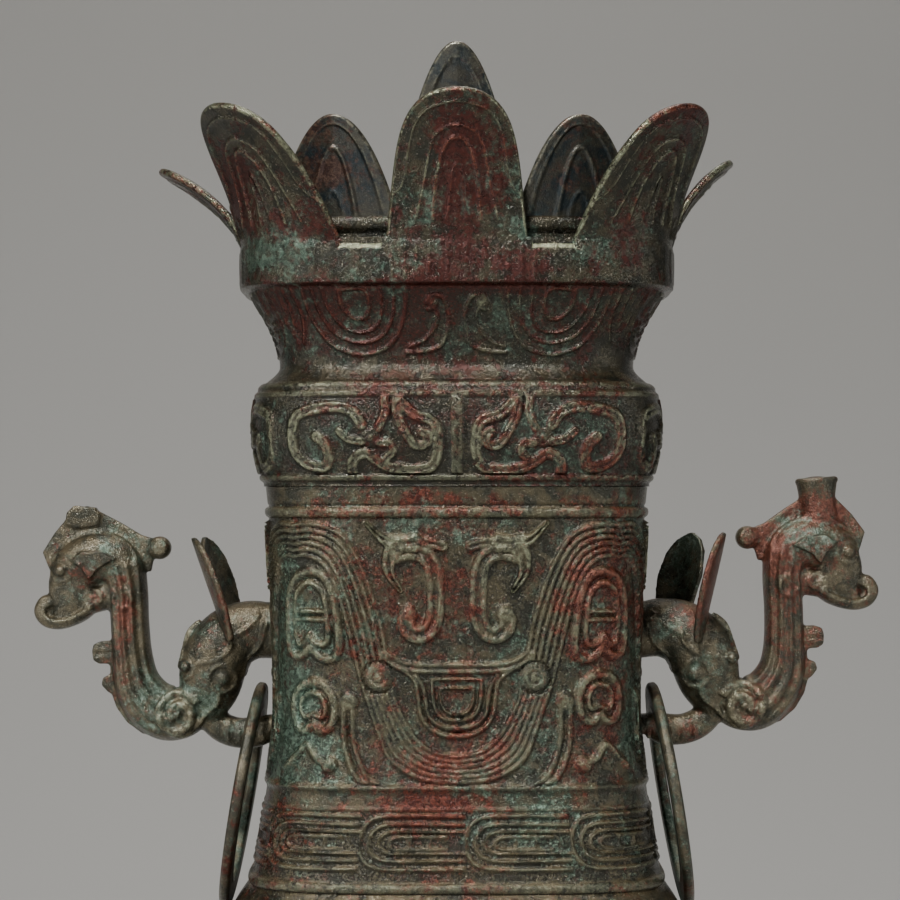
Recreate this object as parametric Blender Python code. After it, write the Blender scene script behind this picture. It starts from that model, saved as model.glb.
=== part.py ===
"""Bronze ritual wine vessel: a square-bodied hu with a petal-crowned lid, beast handles and rings.

Metres, +Z up. The origin is the middle of the foot's underside and the front faces -Y.
The plan of every level is a rounded square: a superellipse, wider than it is deep.
"""
import bpy
import bmesh
import numpy as np
from math import cos, pi, radians, sin
from mathutils import Matrix, Vector

# Walls, fits and plan
WALL = 0.0036
FIT_GAP = 0.0003
DEPTH_SHARE = 0.78
PLAN_POWER = 4.0
COLUMN_SHARES = (0.0, 0.62, 0.87, 1.0)
COLUMNS = 8 * (len(COLUMN_SHARES) - 1)

# Heights of the vessel's zones, from the ground up
FOOT_RIM_HEIGHT = 0.010
FOOT_HEIGHT = 0.046
BELLY_HEIGHT = 0.145
SCALE_BAND_HEIGHT = 0.0415
PANEL_HEIGHT = 0.1150
MOUTH_BAND_HEIGHT = 0.0135
BELLY_SHOULDER_DROP = 0.0180
FLOOR_THICKNESS = 0.0040

# Widths of the vessel at those zones
FOOT_WIDTH = 0.2150
FOOT_NECK_WIDTH = 0.1890
BELLY_UNDER_WIDTH = 0.2280
BELLY_WIDTH = 0.2490
BELLY_SHOULDER_WIDTH = 0.2016
BELLY_TOP_WIDTH = 0.1805
PANEL_FOOT_WIDTH = 0.1670
NECK_WIDTH = 0.1600
PANEL_TOP_WIDTH = 0.1664
MOUTH_WIDTH = 0.1690

# Lid and crown
SEAM_GAP = 0.0003
TONGUE_DEPTH = 0.0120
TONGUE_WALL = 0.0030
TONGUE_CLEARANCE = 0.0010
LID_BAND_HEIGHT = 0.0400
LID_SHOULDER_HEIGHT = 0.0125
CROWN_TAPER_HEIGHT = 0.0335
CROWN_BAND_HEIGHT = 0.0195
LID_WIDTH = 0.1800
WAIST_WIDTH = 0.1566
CROWN_WIDTH = 0.1916
COLLAR_INSET = 0.0118
COLLAR_RISE = 0.0100
COLLAR_WALL = 0.0032
COLLAR_LIP_HEIGHT = 0.0068
COLLAR_LIP_OVERHANG = 0.0016

# Petals of the crown
PETAL_THICKNESS = 0.0034
PETAL_ROOT = 0.0060
FRONT_PETAL_RISE = 0.0610
FRONT_PETAL_WIDTH = 0.0600
FRONT_PETAL_FLARE = 0.0200
CORNER_PETAL_RISE = 0.0555
CORNER_PETAL_WIDTH = 0.0660
CORNER_PETAL_FLARE = {0: 0.0275, 1: 0.0275, 2: 0.0300, 3: 0.0300}
SIDE_PETAL_RISE = {1: 0.0410, 3: 0.0370}
SIDE_PETAL_WIDTH = 0.0560
SIDE_PETAL_FLARE = {1: 0.0305, 3: 0.0400}
INNER_TALL_RISE = 0.0750
INNER_TALL_WIDTH = 0.0560
INNER_LOW_RISE = 0.0440
INNER_LOW_WIDTH = 0.0560
INNER_LOW_OFFSET = 0.0530
INNER_SIDE_RISE = 0.0360
INNER_PETAL_FLARE = 0.0030

# Handles and rings
HANDLE_HEIGHT = 0.1080
HANDLE_DRAWN_HEIGHT = 108.0
SNOUT_TIP = (109.4, 10.0)
SNOUT_TIP_RADIUS = 3.1
HANDLES_WIDTH = 0.3810
HANDLE_ROOT_SINK = {-1: 0.0014, 1: 0.0010}
HANDLE_LEVEL = 0.0640
HANDLE_TILT_DEG = {-1: -1.0, 1: 4.0}
RING_OUTER_DIAMETER = 0.1010
RING_BAND_WIDTH = 0.0130
RING_THICKNESS = 0.0050
RING_WALL_GAP = {-1: 0.0082, 1: 0.0086}
RING_DROP = 0.0295

# Relief: how far raised lines stand proud, and how deep their roots are sunk
RELIEF_PROUD = 0.0013
RELIEF_ROOT = 0.0014
LINE_WIDTH = 0.0026
RIB_WIDTH = 0.0042
RIDGE_PROUD = 0.0016
RIDGE_HALF_HEIGHT = 0.0022
BOSS_RADIUS = 0.0058
SCALES_PER_SIDE = 3
CROWN_CUP_WIDTH = 0.0420
CROWN_CUP_PLACE = 0.0420

# Levels worked out from the heights
BELLY_LEVEL = FOOT_HEIGHT + 0.42 * BELLY_HEIGHT
BAND_FOOT = FOOT_HEIGHT + BELLY_HEIGHT
PANEL_FOOT = BAND_FOOT + SCALE_BAND_HEIGHT
NECK_LEVEL = PANEL_FOOT + 0.28 * PANEL_HEIGHT
PANEL_TOP = PANEL_FOOT + PANEL_HEIGHT
RIM_LEVEL = PANEL_TOP + MOUTH_BAND_HEIGHT
LID_FOOT = RIM_LEVEL + SEAM_GAP
LID_BAND_TOP = LID_FOOT + LID_BAND_HEIGHT
WAIST_LEVEL = LID_BAND_TOP + LID_SHOULDER_HEIGHT
CROWN_FOOT = WAIST_LEVEL + CROWN_TAPER_HEIGHT
CROWN_TOP = CROWN_FOOT + CROWN_BAND_HEIGHT
COLLAR_TOP = CROWN_TOP + COLLAR_RISE

AT_CORNER = "corner"
COLOURS = {
    "vessel": (0.085, 0.075, 0.055, 1.0),
    "lid": (0.120, 0.060, 0.045, 1.0),
    "handle": (0.070, 0.085, 0.065, 1.0),
    "ring": (0.120, 0.150, 0.110, 1.0),
}


def clear_scene():
    for old in list(bpy.data.objects):
        bpy.data.objects.remove(old, do_unlink=True)


def bronze(name, colour):
    """Patinated cast bronze: dark, rough metal."""
    material = bpy.data.materials.new(name)
    material.use_nodes = True
    shader = material.node_tree.nodes["Principled BSDF"]
    shader.inputs["Base Color"].default_value = colour
    shader.inputs["Metallic"].default_value = 0.7
    shader.inputs["Roughness"].default_value = 0.5
    return material


def make_object(name, points, faces, material):
    """A closed mesh object with its faces turned outward."""
    mesh = bpy.data.meshes.new(name)
    mesh.from_pydata([tuple(map(float, p)) for p in points], [], faces)
    shape = bmesh.new()
    shape.from_mesh(mesh)
    bmesh.ops.recalc_face_normals(shape, faces=shape.faces)
    shape.to_mesh(mesh)
    shape.free()
    mesh.materials.append(material)
    made = bpy.data.objects.new(name, mesh)
    bpy.context.scene.collection.objects.link(made)
    return made


def smooth_through(levels, values, level):
    """Monotone cubic through key levels: no overshoot, and flat at each widest or narrowest key."""
    levels = np.asarray(levels, float)
    values = np.asarray(values, float)
    steps = np.diff(levels)
    rises = np.diff(values) / steps
    slopes = np.zeros(len(values))
    same_way = rises[:-1] * rises[1:] > 0
    pairs = np.where(same_way, rises[:-1] + rises[1:], 1.0)
    slopes[1:-1] = np.where(same_way, 2 * rises[:-1] * rises[1:] / pairs, 0.0)
    slopes[0] = rises[0]
    slopes[-1] = rises[-1]
    k = np.clip(np.searchsorted(levels, level) - 1, 0, len(steps) - 1)
    t = np.clip((level - levels[k]) / steps[k], 0, 1)
    return ((1 + 2 * t) * (1 - t) ** 2 * values[k] + t * (1 - t) ** 2 * steps[k] * slopes[k]
            + t * t * (3 - 2 * t) * values[k + 1] + t * t * (t - 1) * steps[k] * slopes[k + 1])


def body_half_width(level):
    """Half the vessel's outer width at a level."""
    levels = [0, FOOT_RIM_HEIGHT, FOOT_HEIGHT, FOOT_HEIGHT + 0.15 * BELLY_HEIGHT, BELLY_LEVEL,
              BAND_FOOT - BELLY_SHOULDER_DROP, BAND_FOOT, PANEL_FOOT, NECK_LEVEL, PANEL_TOP, RIM_LEVEL]
    widths = [FOOT_WIDTH, FOOT_WIDTH, FOOT_NECK_WIDTH, BELLY_UNDER_WIDTH, BELLY_WIDTH,
              BELLY_SHOULDER_WIDTH, BELLY_TOP_WIDTH, PANEL_FOOT_WIDTH, NECK_WIDTH, PANEL_TOP_WIDTH,
              MOUTH_WIDTH]
    return 0.5 * smooth_through(levels, widths, level)


def quarter(half_width, inset):
    """Plan from the middle of the front to the middle of the right side, with its arc length."""
    share = np.linspace(0, 1, 65)
    angle = 0.5 * pi * share * share * (3 - 2 * share)
    x = (half_width - inset) * np.sin(angle) ** (2 / PLAN_POWER)
    y = -(half_width * DEPTH_SHARE - inset) * np.cos(angle) ** (2 / PLAN_POWER)
    arc = np.concatenate([[0.0], np.cumsum(np.hypot(np.diff(x), np.diff(y)))])
    return arc, x, y


def plan_point(half_width, inset, side, along):
    """Point on the plan. side 0 front, 1 right, 2 back, 3 left; along is metres from its middle."""
    arc, x, y = quarter(half_width, inset)
    reach = abs(along)
    if side % 2 == 0:
        px, py = np.interp(reach, arc, x), np.interp(reach, arc, y)
        px = px if along >= 0 else -px
        return (px, py) if side == 0 else (-px, -py)
    px, py = np.interp(arc[-1] - reach, arc, x), np.interp(arc[-1] - reach, arc, y)
    py = -py if along >= 0 else py
    return (px, py) if side == 1 else (-px, -py)


def corner_arc(half_width, side):
    """Arc length from the middle of a side to the corner."""
    arc = quarter(half_width, 0.0)[0]
    return arc[32] if side % 2 == 0 else arc[-1] - arc[32]


def ring_points(half_width, inset, level):
    """One level of a lofted body: columns at fixed shares from a side's middle to its corner."""
    arc, x, y = quarter(half_width, inset)
    shares = np.array(COLUMN_SHARES)
    corner = arc[32]
    steps = np.concatenate([shares * corner, arc[-1] - (shares * (arc[-1] - corner))[-2::-1]])
    qx, qy = np.interp(steps, arc, x), np.interp(steps, arc, y)
    xs = np.concatenate([qx[:-1], qx[:0:-1], -qx[:-1], -qx[:0:-1]])
    ys = np.concatenate([qy[:-1], -qy[:0:-1], -qy[:-1], qy[:0:-1]])
    return np.stack([xs, ys, np.full(len(xs), level)], axis=1)


def loft(name, rows, material):
    """Body through rows of (half width, inset, level), capped at both ends."""
    points = np.concatenate([ring_points(*row) for row in rows])
    count = COLUMNS
    faces = []
    for r in range(len(rows) - 1):
        low, high = r * count, (r + 1) * count
        for k in range(count):
            n = (k + 1) % count
            faces.append((low + k, low + n, high + n, high + k))
    points = list(points)
    for r in (0, len(rows) - 1):
        hub = len(points)
        points.append((0.0, 0.0, rows[r][2]))
        faces += [(hub, r * count + k, r * count + (k + 1) % count) for k in range(count)]
    return make_object(name, points, faces, material)


def ridge_rows(level, half_height, proud, half_width):
    """Three rows of a moulding that stands proud of the wall."""
    return [(half_width(level - half_height), 0.0, level - half_height),
            (half_width(level) + proud, 0.0, level),
            (half_width(level + half_height), 0.0, level + half_height)]


def union(name, shapes, cutters=()):
    """Fuse closed shapes into one solid, take cutters away, and keep the result as one mesh."""
    body = shapes[0]
    body.name = name
    group = bpy.data.collections.new(name + "_shapes")
    for shape in shapes[1:]:
        group.objects.link(shape)
    if len(shapes) > 1:
        fuse = body.modifiers.new("fuse", "BOOLEAN")
        fuse.operation = "UNION"
        fuse.operand_type = "COLLECTION"
        fuse.collection = group
    for cutter in cutters:
        cut = body.modifiers.new("cut", "BOOLEAN")
        cut.operation = "DIFFERENCE"
        cut.object = cutter
    bpy.context.view_layer.update()
    graph = bpy.context.evaluated_depsgraph_get()
    mesh = bpy.data.meshes.new_from_object(body.evaluated_get(graph))
    body.modifiers.clear()
    body.data = mesh
    for extra in list(shapes[1:]) + list(cutters):
        bpy.data.objects.remove(extra, do_unlink=True)
    bpy.data.collections.remove(group)
    tidy_mesh(mesh)
    return body


def tidy_mesh(mesh):
    """Merge points closer than a hundredth of a millimetre and make every face a triangle."""
    shape = bmesh.new()
    shape.from_mesh(mesh)
    bmesh.ops.dissolve_degenerate(shape, edges=shape.edges, dist=1e-5)
    bmesh.ops.remove_doubles(shape, verts=shape.verts, dist=1e-5)
    bmesh.ops.triangulate(shape, faces=shape.faces)
    shape.to_mesh(mesh)
    shape.free()


def smooth_line(points, steps):
    """Catmull-Rom curve through a few points, sampled evenly."""
    points = np.asarray(points, float)
    ends = np.vstack([2 * points[0] - points[1], points, 2 * points[-1] - points[-2]])
    dense = []
    for i in range(1, len(ends) - 2):
        a, b, c, d = ends[i - 1], ends[i], ends[i + 1], ends[i + 2]
        for t in np.linspace(0, 1, 8, endpoint=False):
            dense.append(0.5 * (2 * b + (c - a) * t + (2 * a - 5 * b + 4 * c - d) * t * t
                                + (3 * b - a - 3 * c + d) * t ** 3))
    dense.append(points[-1])
    dense = np.array(dense)
    arc = np.concatenate([[0], np.cumsum(np.linalg.norm(np.diff(dense, axis=0), axis=1))])
    marks = np.linspace(0, arc[-1], steps + 1)
    return np.stack([np.interp(marks, arc, dense[:, k]) for k in range(dense.shape[1])], axis=1)


def circle(centre, radius, steps, start=0.0, turn=2 * pi):
    """Points on an arc around a centre, in shares of a panel already made round in metres."""
    angles = start + turn * np.arange(steps + 1) / steps
    return [(centre[0] + radius * cos(a), centre[1] + radius * sin(a)) for a in angles]


def bead(name, spine, normals, width, proud, root, material):
    """Raised line: a ridged bar carried along a spine, its root sunk below the surface."""
    spine, normals = np.asarray(spine, float), np.asarray(normals, float)
    ahead = np.gradient(spine, axis=0)
    ahead /= np.linalg.norm(ahead, axis=1, keepdims=True)
    across = np.cross(normals, ahead)
    across /= np.linalg.norm(across, axis=1, keepdims=True)
    corners = [spine - across * 0.7 * width - normals * root,
               spine + across * 0.7 * width - normals * root,
               spine + normals * proud]
    points = np.stack(corners, axis=1).reshape(-1, 3)
    faces = []
    for i in range(len(spine) - 1):
        for k in range(3):
            n = (k + 1) % 3
            faces.append((3 * i + k, 3 * i + n, 3 * i + 3 + n, 3 * i + 3 + k))
    faces.append((2, 1, 0))
    last = 3 * (len(spine) - 1)
    faces.append((last, last + 1, last + 2))
    return make_object(name, points, faces, material)


def wall_bead(name, half_width, side, line, width, material):
    """Raised line on a wall: its points are (metres from the side's middle, level)."""
    spine, normals = [], []
    for along, level in line:
        half = half_width(level)
        here = np.array([*plan_point(half, 0.0, side, along), level])
        step = 0.002
        beside = np.array([*plan_point(half, 0.0, side, along + step), level])
        back = np.array([*plan_point(half, 0.0, side, along - step), level])
        over = np.array([*plan_point(half_width(level + step), 0.0, side, along), level + step])
        under = np.array([*plan_point(half_width(level - step), 0.0, side, along), level - step])
        normal = np.cross(beside - back, over - under)
        spine.append(here)
        normals.append(normal / np.linalg.norm(normal))
    return bead(name, spine, normals, width, RELIEF_PROUD, RELIEF_ROOT, material)


def build_vessel(material):
    """Hollow body on a hollow foot, with its mouldings and the main lines of its wave panel."""
    half = body_half_width
    rows = [(half(0.0), 0.0, 0.0), (half(FOOT_RIM_HEIGHT), 0.0, FOOT_RIM_HEIGHT),
            (half(0.55 * FOOT_HEIGHT), 0.0, 0.55 * FOOT_HEIGHT)]
    rows += ridge_rows(FOOT_HEIGHT, RIDGE_HALF_HEIGHT, RIDGE_PROUD, half)
    for share in (0.16, 0.29, 0.42, 0.56, 0.72, 0.87):
        level = FOOT_HEIGHT + share * BELLY_HEIGHT
        rows.append((half(level), 0.0, level))
    rows += ridge_rows(BAND_FOOT, RIDGE_HALF_HEIGHT, RIDGE_PROUD, half)
    rows.append((half(BAND_FOOT + 0.5 * SCALE_BAND_HEIGHT), 0.0, BAND_FOOT + 0.5 * SCALE_BAND_HEIGHT))
    rows += ridge_rows(PANEL_FOOT, RIDGE_HALF_HEIGHT, RIDGE_PROUD, half)
    for share in (0.16, 0.40, 0.70):
        level = PANEL_FOOT + share * PANEL_HEIGHT
        rows.append((half(level), 0.0, level))
    rows += ridge_rows(PANEL_TOP + 0.0030, 0.0030, RIDGE_PROUD, half)
    rows.append((half(RIM_LEVEL), 0.0, RIM_LEVEL))
    floor_top = FOOT_HEIGHT + FLOOR_THICKNESS
    inside = [RIM_LEVEL, PANEL_TOP, NECK_LEVEL, PANEL_FOOT, BAND_FOOT,
              FOOT_HEIGHT + 0.72 * BELLY_HEIGHT, BELLY_LEVEL, FOOT_HEIGHT + 0.20 * BELLY_HEIGHT,
              floor_top + 0.004]
    rows += [(half(level), WALL, level) for level in inside]
    rows.append((half(floor_top), WALL + 0.006, floor_top))
    under = [(half(FOOT_HEIGHT), WALL + 0.003, FOOT_HEIGHT), (half(0.7 * FOOT_HEIGHT), WALL, 0.7 * FOOT_HEIGHT),
             (half(FOOT_RIM_HEIGHT), WALL, FOOT_RIM_HEIGHT), (half(0.0), WALL, 0.0)]
    body = loft("vessel", under + rows, material)
    lines = []
    for side in range(4):
        lines += panel_lines(side, material)
    lines += scale_lines(material)
    return union("vessel", [body] + lines)


# Main lines of the wave panel, as (share from the side's middle to the corner, share of its height)
RIB_INNER = [(0.975, 0.985), (0.84, 0.975), (0.70, 0.93), (0.58, 0.82), (0.53, 0.69), (0.55, 0.55),
             (0.59, 0.42), (0.52, 0.27), (0.36, 0.155), (0.18, 0.112), (0.0, 0.10)]
RIB_OUTER = [(0.975, 0.885), (0.88, 0.875), (0.81, 0.84), (0.75, 0.78), (0.72, 0.69), (0.735, 0.55),
             (0.77, 0.42), (0.68, 0.25), (0.50, 0.09), (0.24, 0.02), (0.0, 0.012)]
HOOK = [(0.55, 0.975), (0.46, 0.94), (0.14, 0.92), (0.115, 0.86), (0.115, 0.60), (0.18, 0.53),
        (0.30, 0.53), (0.36, 0.59), (0.29, 0.63)]
HOOK_TOOTH = [(0.25, 0.895), (0.37, 0.86), (0.34, 0.72)]
SHIELD_BAR = [(-0.37, 0.465), (0.0, 0.455), (0.37, 0.465)]
SHIELD_CUP = [(-0.33, 0.41), (-0.30, 0.30), (-0.18, 0.20), (0.0, 0.18), (0.18, 0.20), (0.30, 0.30),
              (0.33, 0.41)]
SHIELD_EYE = [(-0.15, 0.38), (-0.14, 0.24), (0.0, 0.215), (0.14, 0.24), (0.15, 0.38)]
CORNER_ARCH = [(0.96, 0.50), (0.84, 0.54), (0.82, 0.72), (0.86, 0.79), (0.96, 0.81)]
CORNER_EYE = [(0.96, 0.225), (0.86, 0.25), (0.83, 0.31), (0.87, 0.37), (0.96, 0.39)]
CORNER_PEAK = [(0.76, 0.08), (0.92, 0.15), (0.96, 0.13)]
COMMA = [(0.66, 0.35), (0.64, 0.20), (0.57, 0.06), (0.48, 0.015)]
BOSS_PLACE = (0.48, 0.42)


def panel_lines(side, material):
    """Raised lines of the wave panel on one side: ribs, bosses, and the face between them."""
    def at(point):
        level = PANEL_FOOT + 0.003 + point[1] * (PANEL_HEIGHT - 0.005)
        return point[0] * corner_arc(body_half_width(level), side), level

    def line(points, steps, width=LINE_WIDTH):
        placed = smooth_line([at(p) for p in points], steps)
        made.append(wall_bead("line", body_half_width, side, placed, width, material))

    made = []
    for share in (0.0, 1.0):
        half = [(a[0] + share * (b[0] - a[0]), a[1] + share * (b[1] - a[1]))
                for a, b in zip(RIB_INNER, RIB_OUTER)]
        whole = half + [(-u, v) for u, v in half[-2::-1]]
        line(whole, 14, RIB_WIDTH)
    if side % 2:
        return made
    line(SHIELD_CUP, 5)
    line(SHIELD_BAR, 1)
    line(SHIELD_EYE, 3)
    for hand in (-1, 1):
        for points, steps in ((HOOK, 7), (HOOK_TOOTH, 2), (CORNER_ARCH, 3), (CORNER_EYE, 3),
                              (CORNER_PEAK, 1), (COMMA, 2)):
            line([(hand * u, v) for u, v in points], steps)
        along, level = at((hand * BOSS_PLACE[0], BOSS_PLACE[1]))
        ring = circle((along, level), BOSS_RADIUS, 6)
        made.append(wall_bead("boss", body_half_width, side, ring[:-1], 2 * LINE_WIDTH, material))
    return made


def scale_lines(material):
    """Belt of long rounded scales above the belly, each opening toward the next."""
    made = []
    low = BAND_FOOT + 0.16 * SCALE_BAND_HEIGHT
    high = PANEL_FOOT - 0.24 * SCALE_BAND_HEIGHT
    middle = 0.5 * (low + high)
    for side in range(4):
        reach = corner_arc(body_half_width(middle), side)
        pitch = 2 * reach / SCALES_PER_SIDE
        for k in range(SCALES_PER_SIDE):
            left = -reach + k * pitch + 0.1 * pitch
            right = left + 0.8 * pitch
            nose = 0.25 * pitch
            points = [(right, high), (left + nose, high), (left, middle), (left + nose, low), (right, low)]
            placed = smooth_line(points, 4)
            made.append(wall_bead("scale", body_half_width, side, placed, LINE_WIDTH, material))
    return made


def lid_half_width(level):
    """Half the lid's outer width at a level, from its foot to the top of the crown's band."""
    levels = [LID_FOOT, LID_FOOT + 0.6 * LID_BAND_HEIGHT, LID_BAND_TOP, WAIST_LEVEL,
              CROWN_FOOT - 0.0015, CROWN_FOOT + 0.0005, CROWN_TOP]
    widths = [MOUTH_WIDTH + 0.0020, LID_WIDTH, 0.985 * LID_WIDTH, WAIST_WIDTH,
              CROWN_WIDTH - 0.0085, CROWN_WIDTH, CROWN_WIDTH]
    return 0.5 * smooth_through(levels, widths, level)


DRAGON_BODY = [(0.20, 0.20), (0.13, 0.45), (0.20, 0.78), (0.40, 0.82), (0.52, 0.55), (0.64, 0.30),
               (0.80, 0.22), (0.90, 0.50), (0.80, 0.80), (0.66, 0.72)]
DRAGON_CREST = [(0.52, 0.88), (0.46, 0.50), (0.34, 0.25)]


def lid_lines(material):
    """Coiling dragons on the lid's band and hanging cups under the crown's band."""
    made = []
    for side in range(4):
        reach = corner_arc(0.5 * LID_WIDTH, side)
        for hand in (-1, 1):
            for points, steps in ((DRAGON_BODY, 7), (DRAGON_CREST, 1)):
                line = [(hand * u * reach, LID_FOOT + 0.006 + v * (LID_BAND_HEIGHT - 0.006))
                        for u, v in points]
                made.append(wall_bead("dragon", lid_half_width, side, smooth_line(line, steps),
                                      LINE_WIDTH, material))
        places = (-CROWN_CUP_PLACE, CROWN_CUP_PLACE) if side % 2 == 0 else (0.0,)
        for place in places:
            top = CROWN_FOOT - 0.0030
            deep = WAIST_LEVEL + 0.0040
            half = 0.5 * CROWN_CUP_WIDTH
            cup = [(place - half, top), (place - 0.8 * half, 0.5 * (top + deep)), (place, deep),
                   (place + 0.8 * half, 0.5 * (top + deep)), (place + half, top)]
            made.append(wall_bead("cup", lid_half_width, side, smooth_line(cup, 4), LINE_WIDTH, material))
    return made


def petal(name, outline, inset, side, centre, width, rise, flare, blunt, base, material):
    """One petal: a bent plate that grows from a curved wall and leans outward.

    Across runs -1 to 1 and up runs 0 to 1. A blunt petal keeps its width and closes in a round
    arch; the other kind narrows as a parabola does. Its foot is sunk into what carries it.
    """
    thick = PETAL_THICKNESS
    corner = centre is AT_CORNER
    arc = corner_arc(outline, side)
    middle = arc if corner else centre
    ups = np.array([0.0, 0.35, 0.7, 0.92, 0.995])
    acrosses = np.linspace(-1, 1, 4 if blunt else 3)
    if blunt:
        narrow = (1 - 0.22 * ups) * (1 - ups ** 6) ** 0.455
    else:
        narrow = np.sqrt(1 - ups * 0.999)
    cx, cy = plan_point(outline, inset, side, middle)
    if corner:
        tangent = np.array([-cy, cx]) / np.hypot(cx, cy)
    else:
        left = np.array(plan_point(outline, inset, side, middle - 0.004))
        right = np.array(plan_point(outline, inset, side, middle + 0.004))
        tangent = (right - left) / np.linalg.norm(right - left)
    out = np.array([tangent[1], -tangent[0]])
    grid = []
    for up, share in zip(np.concatenate([[-PETAL_ROOT / rise], ups]), np.concatenate([[1.0], narrow])):
        lift = max(up, 0.0)
        lean = flare * (0.45 * lift + 0.55 * lift ** 2)
        height = base + rise * (up - 0.06 * lift ** 3 + 0.06 * lift ** 2)
        flat = min(1.0, 1.5 * lift) * 0.85
        row = []
        for across in acrosses:
            reach = 0.5 * width * share * across
            on_wall = np.array(plan_point(outline, inset + 0.5 * WALL, side, middle + reach)
                               if not corner else wrapped(outline, inset + 0.5 * WALL, side, reach))
            chord = np.array([cx, cy]) - out * 0.5 * WALL + tangent * reach - out * 0.10 * abs(reach)
            place = on_wall * (1 - flat) + chord * flat + out * lean
            row.append((*place, height))
        grid.append(row)
    grid = np.array(grid)
    du = np.gradient(grid, axis=0)
    dv = np.gradient(grid, axis=1)
    normal = np.cross(dv, du)
    normal /= np.linalg.norm(normal, axis=2, keepdims=True)
    front = grid + normal * 0.5 * thick
    back = grid - normal * 0.5 * thick
    return slab(name, front, back, material)


def wrapped(outline, inset, side, reach):
    """Point on the plan, counted from the corner at the right end of a side."""
    arc = corner_arc(outline, side)
    if reach <= 0:
        return plan_point(outline, inset, side, arc + reach)
    far = corner_arc(outline, (side + 1) % 4)
    return plan_point(outline, inset, (side + 1) % 4, -far + reach)


def slab(name, front, back, material):
    """Closed plate between two grids of points."""
    rows, columns = front.shape[:2]
    points = np.concatenate([front.reshape(-1, 3), back.reshape(-1, 3)])
    other = rows * columns
    faces = []
    for r in range(rows - 1):
        for c in range(columns - 1):
            a = r * columns + c
            faces.append((a, a + 1, a + columns + 1, a + columns))
            faces.append((other + a, other + a + columns, other + a + columns + 1, other + a + 1))
    rim = ([r * columns for r in range(rows)]
           + [(rows - 1) * columns + c for c in range(1, columns)]
           + [r * columns + columns - 1 for r in range(rows - 2, -1, -1)]
           + list(range(columns - 2, 0, -1)))
    for i, a in enumerate(rim):
        b = rim[(i + 1) % len(rim)]
        faces.append((a, b, other + b, other + a))
    return make_object(name, points, faces, material)


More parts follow.
